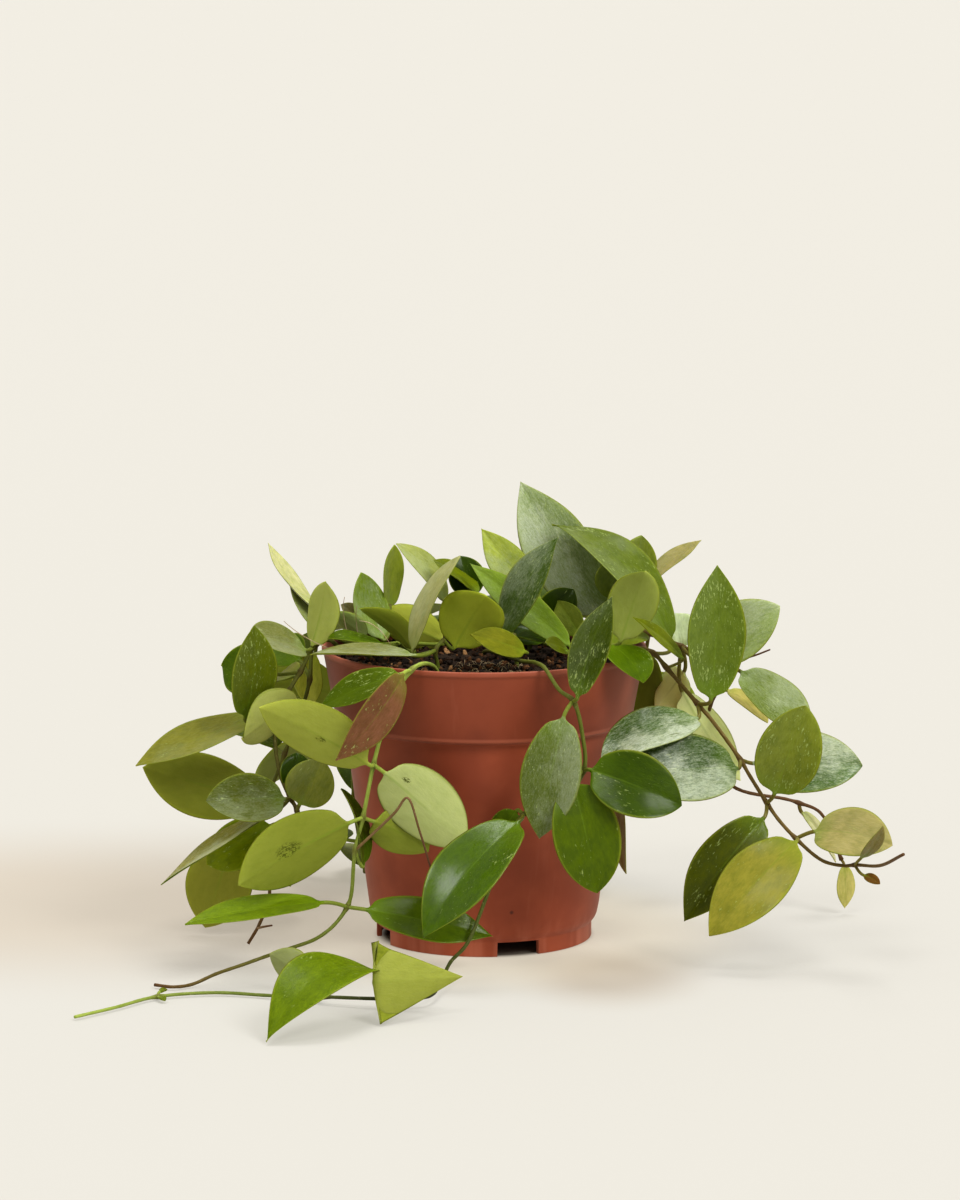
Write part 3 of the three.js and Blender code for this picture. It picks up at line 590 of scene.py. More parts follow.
soil = Shell()
soil.add(soil_rings(), 0, tone=SOIL_TONE)
count = CRUMBS["count"]
spread = np.sqrt(chance.uniform(0, 1, count)) * CRUMBS["reach"]
turn = chance.uniform(0, 2 * np.pi, count)
crumb_x, crumb_y = spread * np.cos(turn), spread * np.sin(turn)
crumb_size = chance.uniform(*CRUMBS["size"], (count, 1)) * chance.uniform(*CRUMBS["stretch"], (count, 3))
crumb_z = soil_height(crumb_x, crumb_y) + CRUMBS["raised"] * crumb_size[:, 2]
crumb_tone = chance.integers(0, len(BARK), count)
for rings, kind in zip(lumps(np.stack([crumb_x, crumb_y, crumb_z], 1), crumb_size, 3), crumb_tone):
    soil.add(rings, 0, tone=BARK[kind])
chip_x, chip_y, chip_long = np.array(CHIPS).T
chip_z = soil_height(chip_x, chip_y) + CHIP_RAISED
for rings in lumps(np.stack([chip_x, chip_y, chip_z], 1), chip_long[:, None] * CHIP_SHAPE, 9):
    soil.add(rings, 0, tone=CHIP)
print(count, "crumbs and", len(CHIPS), "chips")

# %% Soil material
SOIL_GRAIN = {"fine": 1400.0, "coarse": 320.0}  # steps per metre
SOIL_SHADE, SOIL_CRUMB = solid_colour(14, 9, 6), solid_colour(96, 66, 44)

paint = Paint("potting_mix", Specular_IOR_Level=0.25)
where = paint.place()
fine = paint.noise(where, SOIL_GRAIN["fine"], 4.0)
coarse = paint.noise(where, SOIL_GRAIN["coarse"], 3.0)
tone = paint.mark("tone")
colour = paint.mix(paint.ease(fine, 0.35, 0.7), tone, paint.mix(0.5, tone, SOIL_SHADE))
colour = paint.mix(paint.ease(coarse, 0.62, 0.7) * 0.5, colour, SOIL_CRUMB)
potting_mix = paint.finish(
    Base_Color=colour,
    Roughness=0.78 + fine * 0.2,
    height=fine * 0.6 + coarse,
    depth=0.5,
)
soil.piece("soil_top", [potting_mix], "soil", "soil")

# %% [markdown]
# ## Where the leaves are
# The front of the plant is laid out as the camera sees it, and the unseen back is laid out plainly. In
# the front, a point is across, back and up: across and up are where it seems to be on the upright
# plane through the pot's axis, and back is its true depth. A point with no depth lies on the table.
# The same lists make the CAD solids, so every blade here fills the place of its plain twin there.

# %% Points, leaves and stems
STEM = {"foot": 0.8, "tip": 0.58, "on_table": 1.4}  # radii, and how high a stem lies on the table
# A leaf is the route point it grows from, the foot of its blade, its tip, its width, the way its upper
# side faces and its look. It may also have how far its midrib bows, the point that pulls a folded
# midrib, and a scar's share of the way to the tip, share of the half width, and size.
Leaf = namedtuple("Leaf", "node foot tip wide face look arch bend blot", defaults=(3, None, None))
# A stem is how its points are read, where it stands in the soil, its route and its leaves. It may also
# have dry twigs, each a thickness and its points, and its colours from the soil to its tip.
Stem = namedtuple("Stem", "name place root route leaves twigs bark", defaults=((), ("green", "green")))


def seen(point):
    """Slides a point along its sight line: everything scales from the eye by 1 plus its depth over
    the eye's distance."""
    if len(point) == 2:
        k = (EYE[2] - STEM["on_table"]) / (EYE[2] - point[1])
        return np.array([EYE[0] + (point[0] - EYE[0]) * k, EYE[1] * (1 - k), STEM["on_table"]])
    k = 1 - point[1] / EYE[1]
    return np.array([EYE[0] + (point[0] - EYE[0]) * k, point[1], EYE[2] + (point[2] - EYE[2]) * k])


def plain(point):
    """Leaves a point where it is."""
    return np.array(point, float)


# %% The stems
STEMS = [
    Stem("vine_front_left", seen, [-17, -38], [
        [-22.5, -53, 102], [-27, -60, 99.5], [-32, -62, 92], [-37.5, -64, 77], [-41, -66, 64],
        [-45, -67, 44], [-48, -67, 31.5], [-49.5, -64, 14.5], [-51, -64, 10], [-56, -68, 3],
        [-62.5, -72, -2], [-71, -78, -5.3], [-81, -82, -8.7], [-90, -85, -12], [-100, -88, -15.5],
        [-109, -19.5], [-116, -20.5], [-123, -19.7],
    ], [
        Leaf(1, [-30, -65, 98], [-55, -88, 65.5], 16, [0.7, -0.65, 0.2], "purple"),
        Leaf(1, [-31, -60, 98], [-61, -58, 85.5], 16, [-0.15, -0.5, 0.85], "flecked", 1),
        Leaf(4, [-43, -72, 64.2], [-83.5, -84, 85.6], 22.5, [0, 0.9, 0.3], "light_pale",
             blot=(0.42, 0.1, 2.6)),
        Leaf(4, [-37, -69, 61], [-7, -62, 33], 25, [0, 1, 0.1], "pale_under", blot=(0.2, 0.3, 2.2)),
        Leaf(5, [-50, -71, 42], [-91.5, -86, 18.2], 25, [0, 0.95, 0.2], "light_deep",
             blot=(0.52, -0.12, 6.0)),
        Leaf(5, [-41, -63, 42.5], [-20.5, -57, 31], 20, [0, 0.9, 0.3], "light"),
        Leaf(6, [-45, -62, 26], [-53, -56, 55], 17, [1, -0.3, 0], "dark"),
        Leaf(8, [-60, -74, 11.7], [-111.5, -92, 3.4], 20, [0.1, -0.2, 0.95], "spring", 1),
        Leaf(8, [-44, -66, 9], [3.3, -62, -1.1], 18, [0.1, -0.75, 0.65], "deep", 1),
    ], twigs=[
        [0.5, [[-48, -67, 31.5], [-33, -76, 46], [-28.5, -78, 51.5], [-24, -78, 39], [-18.5, -77, 20]]],
    ], bark=("lime", "lime", "green", "brown")),
    Stem("vine_front_right", seen, [0, 4], [
        [8, -12, 105], [14, -32, 103], [19.5, -52, 102.2], [22.5, -59.5, 100.3], [28, -65, 92],
        [33, -67, 88], [36.5, -67, 75], [37, -66, 61.7], [28, -62, 50], [14.5, -60, 45], [4, -60, 22],
        [-6, -72, -3.4], [-12.5, -84, -11], [-16.5, -100, -19.5], [-22, -118, -24.5], [-38, -121, -25],
        [-60, -115, -24.3], [-80, -23.8], [-100, -22.7], [-122, -24.2], [-138, -28.4], [-153, -32],
    ], [
        Leaf(5, [34.6, -71, 89.4], [47.3, -62, 127.2], 15, [-0.4, -0.9, 0.2], "flecked_dark"),
        Leaf(5, [29.5, -72, 82], [20.7, -70, 36], 22, [-0.15, -1, 0.1], "grey"),
        Leaf(7, [33, -70, 57.5], [42.3, -74, 15.3], 24.5, [0.15, -1, 0.1], "deep"),
        Leaf(7, [39.5, -69, 62], [73.5, -74, 48.5], 24, [0.1, -0.95, 0.35], "dark"),
        Leaf(9, [13, -68, 42.5], [-22.8, -94, -1.8], 26, [-0.35, -0.75, 0.5], "glossy", 5),
        Leaf(9, [12, -57, 46.5], [5, -54, 34], 12, [-0.5, -0.8, 0], "green", 1),
        Leaf(15, [-40, -128, -15], [-81.5, -175, -41.5], 25, [-0.35, -0.65, 0.65], "spring", 12),
        Leaf(15, [-19.8, -128.8, -18], [-8.1, -130, -16.6], 29, [-0.3, 0.8, -0.5], "lime_under", 0,
             [-68, -158, -20.5]),
        Leaf(16, [-66, -103, -20], [-80, -98, -7.6], 15, [0.3, 0.9, 0.3], "pale", 2),
        Leaf(19, [-121, -105, -22.3], [-118.5, -102.5, -21.3], 2.6, [0, -0.3, 0.9], "bright", 0.2),
        Leaf(19, [-121, -111, -24.6], [-119, -113.5, -25.6], 2.6, [0, -0.3, 0.9], "bright", 0.2),
    ], bark=("olive", "green", "black", "lime")),
    Stem("vine_right", seen, [42, -10], [
        [52, -22, 106.2], [57.5, -24, 107.8], [62.5, -24, 106], [67.5, -22, 100.5], [79, -25, 87],
        [84.5, -28, 80.6], [95, -35, 66], [98.5, -38, 60], [105, -42, 49.6], [109.6, -46, 43],
        [116, -50, 36], [126, -56, 27.6], [133.7, -60, 25.7], [138, -65, 26], [147, -88, 25.7],
        [156, -122, 30],
    ], [
        Leaf(2, [69, -12, 109], [25, 24, 154], 22, [0.55, -0.6, 0.55], "streaked", 11),
        Leaf(3, [73.5, -23, 104], [55, -38, 119.5], 8, [0.45, -0.6, 0.65], "bright", 1),
        Leaf(4, [84, -31, 88.5], [86, -24, 138.9], 22, [0.2, -0.95, 0.2], "flecked_pale"),
        Leaf(4, [79, -30, 81.4], [43.5, -54, 66], 24, [-0.3, -0.6, 0.75], "silver"),
        Leaf(6, [94, -40, 62.5], [51, -57, 59], 27, [-0.15, -0.85, 0.5], "silver_deep"),
        Leaf(6, [100, -33, 64.5], [140.4, -40, 63.4], 24, [0.15, -0.9, 0.4], "silver_bright"),
        Leaf(8, [107.8, -50, 53], [119.3, -54, 86.3], 23.5, [0, -0.95, 0.3], "olive_flecked"),
        Leaf(8, [104, -46, 43.9], [74.5, -52, 4.5], 22, [-0.35, -0.9, 0.3], "dark_olive"),
        Leaf(10, [116.3, -54, 35], [84, -68, -1.1], 24, [-0.3, -0.9, 0.3], "yellow_olive"),
        Leaf(10, [123, -54, 38.7], [152, -66, 33.4], 21, [0, -0.75, 0.65], "olive"),
        Leaf(13, [140.5, -74, 28.8], [148.5, -82, 40.9], 7, [0.5, -0.8, 0.2], "purple_grey", 1),
        Leaf(13, [141.5, -71, 22], [147.5, -74, 18.8], 4, [0.2, -0.8, 0.5], "brown", 0.5),
    ], bark=("olive", "olive_brown", "olive_brown", "brown")),
    Stem("vine_back_right", seen, [40, 22], [
        [48.4, 24, 112.5], [54.3, 27, 116.3], [61, 29, 113.4], [73, 26, 108.5], [88, 18, 100],
        [85, 26, 90], [82, 34, 76], [85, 34, 64], [93.7, 28, 55], [112, 30, 51], [117, 31, 49.5],
        [125, 31, 45.8], [133, 32, 28],
    ], [
        Leaf(3, [79, 16, 105], [109.3, 8, 123.7], 22, [0.1, -0.9, 0.3], "silver_streaked"),
        Leaf(4, [95, 14, 99], [121, 2, 76], 20, [0.3, -0.7, 0.65], "silver_green", 1),
        Leaf(5, [90, 29, 92], [105.2, 24, 79.8], 14, [0.4, -0.3, 0.85], "beige", 1),
        Leaf(3, [73.5, 27, 91], [95.2, 18, 57.9], 18, [-0.5, 0.8, 0.2], "beige_under"),
        Leaf(3, [74, 31, 99], [63.3, 36, 85], 18, [0.8, 0.3, 0.3], "beige_under", 1),
        Leaf(2, [60, 36, 107], [51.5, 46, 73], 18, [0.4, 0.6, 0.3], "dark_olive"),
        Leaf(3, [73, 33, 108], [71, 38, 121], 18, [-0.2, -0.9, 0.2], "pale_silver", 1),
        Leaf(10, [118, 32, 46], [131, 36, 27], 12, [0.7, -0.3, 0.6], "beige_pale", 1),
        Leaf(12, [134, 32, 26], [134.4, 33, 9.5], 8, [0.4, -0.8, 0], "beige", 0.5),
    ], twigs=[
        [0.45, [[88, 18, 100], [95, 15, 103.4], [101, 13, 105.4], [105.8, 12, 107.3]]],
    ], bark=("olive", "olive_brown", "brown", "brown")),
    Stem("vine_left", seen, [-42, -6], [
        [-52, -8, 107], [-57.3, -9, 110.8], [-62.3, -10, 109], [-68, -13, 99], [-72.6, -17, 91],
        [-77, -22, 80], [-77.5, -26, 73], [-75.6, -32, 60], [-72, -36, 51.5], [-69.5, -38, 46.5],
        [-70, -42, 35], [-79.5, -46, 18], [-80, -48, 12.5], [-83.5, -50, 4], [-84.5, -51, 1.9],
        [-88, -52, -4],
    ], [
        Leaf(2, [-66, -14, 107], [-87, -26, 112.5], 20, [0, -0.5, 0.85], "grey_pale", 1),
        Leaf(2, [-63.5, -12, 108.9], [-58.4, -18, 132.8], 15, [0.65, 0.7, 0.2], "yellow_pale", 1.5),
        Leaf(5, [-88.5, -32, 82], [-84.8, -34, 116.5], 18, [0.45, -0.85, 0.1], "flecked_mid"),
        Leaf(3, [-77, -12, 98], [-97, 6, 101], 20, [-0.2, -0.9, 0.3], "green", 1),
        Leaf(3, [-70, -6, 97], [-80, 16, 91], 18, [-0.1, -0.5, 0.85], "moss"),
        Leaf(4, [-68, -25, 86.5], [-89.6, -42, 74.2], 23, [-0.2, 0.85, 0.5], "yellow_pale", 2),
        Leaf(5, [-82, -20, 82], [-129.3, -34, 63.6], 21, [-0.15, -0.35, 0.9], "moss", 1),
        Leaf(8, [-74, -42, 51], [-103.3, -54, 50.2], 19, [-0.1, -0.85, 0.5], "grey_green", 1),
        Leaf(8, [-76, -38, 47.5], [-120.4, -50, 18.5], 18, [-0.6, -0.15, 0.8], "silver_narrow", 1),
        Leaf(8, [-70.5, -32, 54], [-69.6, -28, 68.5], 13, [0.3, -0.9, 0.1], "dark", 1),
        Leaf(9, [-68.5, -42, 49], [-60, -44, 66.2], 18, [0.1, -0.9, 0.2], "moss_light", 2),
        Leaf(10, [-79, -29, 41], [-103, -25, 26], 18, [0, -0.9, 0.3], "lit", 1),
    ], twigs=[
        [0.45, [[-84.5, -51, 1.9], [-82, -56, 2.5], [-79, -58, 3]]],
    ], bark=("green", "olive", "brown")),
    Stem("vine_left_back", seen, [-38, 12], [
        [-51.7, 11, 110.3], [-57.2, 11, 114], [-62.7, 10, 111.3], [-64.5, 6, 96], [-66.7, 4, 87.4],
        [-74, 0, 68], [-80, -4, 52], [-86, -6, 32], [-90, -4, 20], [-92, 0, 8],
    ], [
        Leaf(1, [-63, 14, 123], [-79.5, 32, 147.2], 13, [0.75, -0.28, 0.6], "backlit", -1.5),
        Leaf(1, [-63, 15, 116], [-71.6, 22, 131.5], 8, [0.6, -0.6, 0.4], "pale_green", 0.5),
        Leaf(2, [-62.5, 17, 106], [-66, 25, 87], 18, [-0.6, -0.7, 0.2], "painted_lit_olive", 1),
        Leaf(3, [-68, 15, 103], [-77, 36, 109], 16, [-0.3, -0.7, 0.6], "green", 1),
        Leaf(6, [-83, -12, 50.5], [-126.7, -20, 63], 24, [0, 0.85, -0.3], "olive_under"),
        Leaf(7, [-95, -10, 31], [-104, -4, 2.2], 25, [0.1, 0.95, 0.2], "olive_under", 2),
        Leaf(5, [-77, 6, 70], [-104, 32, 76], 23, [-0.5, 0.5, 0.7], "flecked", 4),
        Leaf(6, [-82, 3, 52], [-106, 36, 48], 23, [-0.4, 0.7, 0.6], "green", 4),
        Leaf(7, [-86, 1, 32], [-96, 38, 24], 22, [-0.4, 0.5, 0.8], "silver_green", 3),
        Leaf(8, [-86, 0, 20], [-72, 34, 18], 20, [0.2, 0.5, 0.8], "streaked", 3),
    ], bark=("green", "olive")),
    Stem("crown_left", seen, [-30, 2], [
        [-31, 4, 110], [-34, 8, 116], [-35, 14, 124],
    ], [
        Leaf(1, [-37.5, 4, 111], [-45.3, 9, 136.2], 16, [0.5, -0.75, 0.4], "dark_silver", -2),
        # painted light: this leaf lies in shade here, and the pale under side of its look stands in for
        # the light on it
        Leaf(0, [-44, 0, 111.2], [-56.5, -4, 121], 11, [0.2, 0.7, 0.6], "pale_under", 1.5),
        Leaf(1, [-43.5, 14, 116.5], [-52.8, 13, 124.2], 8, [0.2, -0.6, 0.7], "purple_grey", 0.5),
        Leaf(0, [-26, -6, 107], [-46.2, -12, 122.8], 15, [0.3, 0.6, 0.75], "olive_back"),
        Leaf(2, [-35.2, 16, 123], [-32.9, 20, 146.5], 15, [0.86, -0.5, 0], "bright_grey", -0.5),
        Leaf(0, [-15, 12, 110.5], [-40, 17, 120.5], 16.5, [0.1, 0.95, 0.2], "olive_back", 1),
        Leaf(0, [-36.7, -10, 109], [-57.8, -22, 111.5], 14, [0, -0.2, 1], "green", 1),
        Leaf(1, [-38, 18, 114], [-60, 44, 113], 22, [-0.3, 0.4, 0.8], "flecked"),
        Leaf(1, [-30, 22, 114], [-20, 54, 117], 23, [0.2, 0.5, 0.8], "green", 4),
    ]),
    Stem("crown_front", seen, [-17, -24], [
        [-18, -26, 107], [-15, -23, 111],
    ], [
        Leaf(0, [-26.3, -30, 106.5], [-8.9, -26, 142.3], 18, [-0.85, -0.33, 0.3], "grey_olive"),
        Leaf(0, [-25.6, -38, 105], [-64.4, -44, 105.5], 19, [0, -0.08, 1], "silver_flat", 1),
        Leaf(1, [-11, -20, 108], [1, -34, 127.5], 24, [0.1, 0.95, 0.3], "yellow_under"),
    ]),
    Stem("crown_middle_front", seen, [12, -18], [
        [12, -18, 108], [11, -14, 113],
    ], [
        Leaf(0, [15.2, -28, 106.3], [-5.2, -36, 113], 11, [0, -0.8, 0.6], "yellow", 1),
        Leaf(1, [7, -16, 113], [27.4, -22, 149.5], 16.5, [-0.6, -0.75, 0.2], "frosted"),
    ]),
    Stem("crown_middle_left", seen, [-4, 18], [
        [-3, 18, 112], [-1, 16, 120], [-1, 15, 126],
    ], [
        Leaf(2, [-5, 22, 127], [-8.8, 24, 142.4], 14, [0.2, -0.9, 0.3], "dark", 1),
        Leaf(2, [-2, 16, 128], [-18.5, 20, 140.8], 16, [0.6, -0.2, 0.8], "bright", 1),
        Leaf(2, [-14.5, 26, 125], [-32.4, 32, 147], 15, [0.7, -0.45, 0.55], "pale_green"),
        Leaf(1, [0, 26, 119], [2, 58, 126], 23, [0, 0.4, 0.9], "flecked", 4),
    ]),
    Stem("crown_middle_right", seen, [17, 12], [
        [17, 12, 111], [18, 13, 119], [18, 15, 124],
    ], [
        Leaf(2, [20.5, 22, 126.5], [-1.1, 30, 152.5], 14, [-0.5, -0.7, 0.5], "pale_speckled"),
        Leaf(2, [22, 26, 123], [31, 58, 128], 21, [0.1, 0.4, 0.9], "green", 4),
        Leaf(0, [23.5, 8, 112.5], [4, 5, 117.5], 14, [0.2, -0.8, 0.5], "dark", 1),
        Leaf(1, [22, 18, 116], [33, 19, 130], 14, [0.2, -0.8, 0.5], "dark", 1),
        Leaf(0, [25.5, -3, 109.5], [11.5, -7, 112], 10, [0, -0.2, 1], "dark", 1),
    ]),
    Stem("crown_right", seen, [38, 8], [
        [40, 10, 111], [43, 16, 117], [46, 21, 123],
    ], [
        Leaf(1, [43.5, 26, 120], [13.3, 36, 170], 26, [-0.3, -0.9, 0.3], "silver_big", 5),
        Leaf(2, [51, 22, 127], [58, 18, 150], 18, [0.3, -0.9, 0.2], "pale_olive", 2),
        Leaf(2, [58, 30, 130], [80, 42, 148.3], 13, [-0.5, -0.3, 0.8], "pale", 1),
        Leaf(2, [47, 16, 126], [48, 13, 141], 13, [-0.5, -0.8, 0], "pale_olive", 1),
        Leaf(1, [52, 30, 117], [66, 58, 114], 19, [0.3, 0.2, 0.95], "flecked", 3),
        Leaf(0, [49, 4, 114], [61, 2, 116.5], 11, [0.1, -0.4, 0.9], "dark", 0.5),
    ]),
    Stem("crown_right_front", seen, [34, -18], [
        [35, -18, 108], [39, -18, 111.5],
    ], [
        Leaf(0, [32, -15, 108.5], [-5.2, 13, 139.6], 12.5, [-0.1, -0.8, 0.5], "bright_soft", 2),
        Leaf(1, [36, -6, 112], [27, 11, 125.5], 10, [-0.1, -0.9, 0.3], "lime", 1),
        Leaf(1, [47.4, -30, 108.4], [59, -46, 94.8], 18, [0.3, -0.5, 0.8], "green", 2),
        Leaf(1, [50.5, -24, 110.5], [59.3, -36, 136.8], 18.5, [0.1, 0.9, 0.3], "yellow_soft"),
        Leaf(0, [31, -22, 106.5], [22.5, -26, 110], 9, [-0.2, -0.5, 0.8], "dark_olive", 0.5),
        Leaf(1, [46, -13, 109.8], [61, -7, 112], 12, [0.1, -0.4, 0.9], "bright_grey", 1),
    ]),
    Stem("vine_back", plain, [4, 40], [
        [5.5, 52, 108.5], [6.5, 57.5, 112], [8, 62.5, 110.5], [9, 66, 100], [8, 68, 80], [6, 70, 60],
        [2, 74, 40], [-4, 82, 20], [-10, 94, 7], [-16, 110, 1.5], [-14, 130, 1.4], [-6, 150, 1.4],
        [2, 168, 1.4], [6, 177, 1.4],
    ], [
        Leaf(2, [15, 67, 112], [42, 90, 116], 23, [0.2, 0.2, 0.95], "flecked", 4),
        Leaf(2, [2, 69, 109], [-24, 92, 104], 23, [-0.2, 0.2, 0.95], "green", 4),
        Leaf(4, [13, 73, 82], [42, 92, 66], 24, [0.2, 0.8, 0.5], "streaked", 4),
        Leaf(4, [3, 73, 82], [-28, 90, 84], 24, [-0.2, 0.8, 0.6], "dark", 4),
        Leaf(6, [8, 80, 41], [38, 100, 26], 23, [0.1, 0.7, 0.7], "silver_green", 4),
        Leaf(6, [-4, 79, 42], [-34, 93, 28], 22, [-0.2, 0.8, 0.6], "flecked", 4),
        Leaf(7, [2, 88, 19], [34, 120, 8], 23, [0.1, 0.3, 0.9], "green", 4),
        Leaf(9, [-21, 114, 5], [-44, 146, 7], 22, [-0.2, -0.1, 0.95], "flecked", 4),
        Leaf(9, [-10, 115, 6], [14, 146, 9], 22, [0.2, -0.1, 0.95], "streaked", 4),
        Leaf(11, [-2, 154, 4], [22, 172, 7], 15, [0.1, -0.1, 0.95], "bright", 2),
        Leaf(11, [-11, 154, 4], [-30, 168, 6], 14, [-0.1, -0.1, 0.95], "bright", 2),
    ]),
    Stem("vine_back_left", plain, [-26, 32], [
        [-33.5, 40, 108], [-37, 44.5, 112], [-41, 49, 110.5], [-45, 54, 98], [-48, 58, 78],
        [-50, 62, 58], [-50, 66, 38], [-48, 72, 20], [-46, 82, 6],
    ], [
        Leaf(2, [-47, 57, 106], [-69, 80, 92], 22, [-0.4, 0.3, 0.85], "streaked", 4),
        Leaf(4, [-54, 58, 79], [-90, 58, 84], 24, [-0.3, 0.8, 0.5], "flecked", 4),
        Leaf(4, [-47, 65, 76], [-46, 104, 64], 23, [-0.2, 0.6, 0.7], "green", 4),
        Leaf(5, [-56, 64, 57], [-88, 78, 40], 23, [-0.4, 0.7, 0.6], "silver_green", 4),
        Leaf(6, [-48, 73, 38], [-48, 110, 46], 22, [0.2, 0.5, 0.8], "green", 3),
        Leaf(7, [-53, 76, 20], [-76, 104, 8], 22, [-0.3, 0.4, 0.85], "flecked", 4),
        Leaf(8, [-45, 88, 6], [-52, 120, 9], 19, [0, 0.1, 0.95], "bright", 3),
    ]),
    Stem("vine_back_low", plain, [26, 34], [
        [32.5, 42, 108], [36, 46.5, 112], [40, 51, 110.5], [43, 54, 98], [45, 52, 80], [48, 46, 60],
        [46, 46, 42], [42, 54, 24], [38, 64, 10],
    ], [
        Leaf(2, [46, 57, 112], [66, 86, 116], 23, [0.3, 0.3, 0.9], "silver_green", 4),
        Leaf(4, [50, 57, 80], [82, 74, 72], 23, [0.2, 0.8, 0.5], "flecked", 4),
        Leaf(5, [52, 34, 46], [53.5, 26, 17], 16, [-0.9, -0.3, 0], "pale", 1),
        Leaf(5, [53, 52, 60], [80, 70, 46], 22, [0.3, 0.7, 0.6], "green", 4),
        Leaf(7, [42, 62, 24], [30, 92, 8], 22, [0.1, 0.5, 0.85], "streaked", 3),
    ]),
]
print(len(STEMS), "stems with", sum(len(one.leaves) for one in STEMS), "leaves")

# %% [markdown]
# ## How each leaf looks
# No two leaves here match: young ones are bright, old ones dark or olive, some are splashed with
# silver and one has turned purple. The undersides are plain and pale. So a look is a pair of colours
# with how much fleck and silver lies on the upper side, and how dull its wax is. With the silver comes
# a painted sheen. One olive look is painted lighter to stand in for light on a leaf that lies in shade
# here, and one leaf at the crown's left takes a paler under side for the same reason.

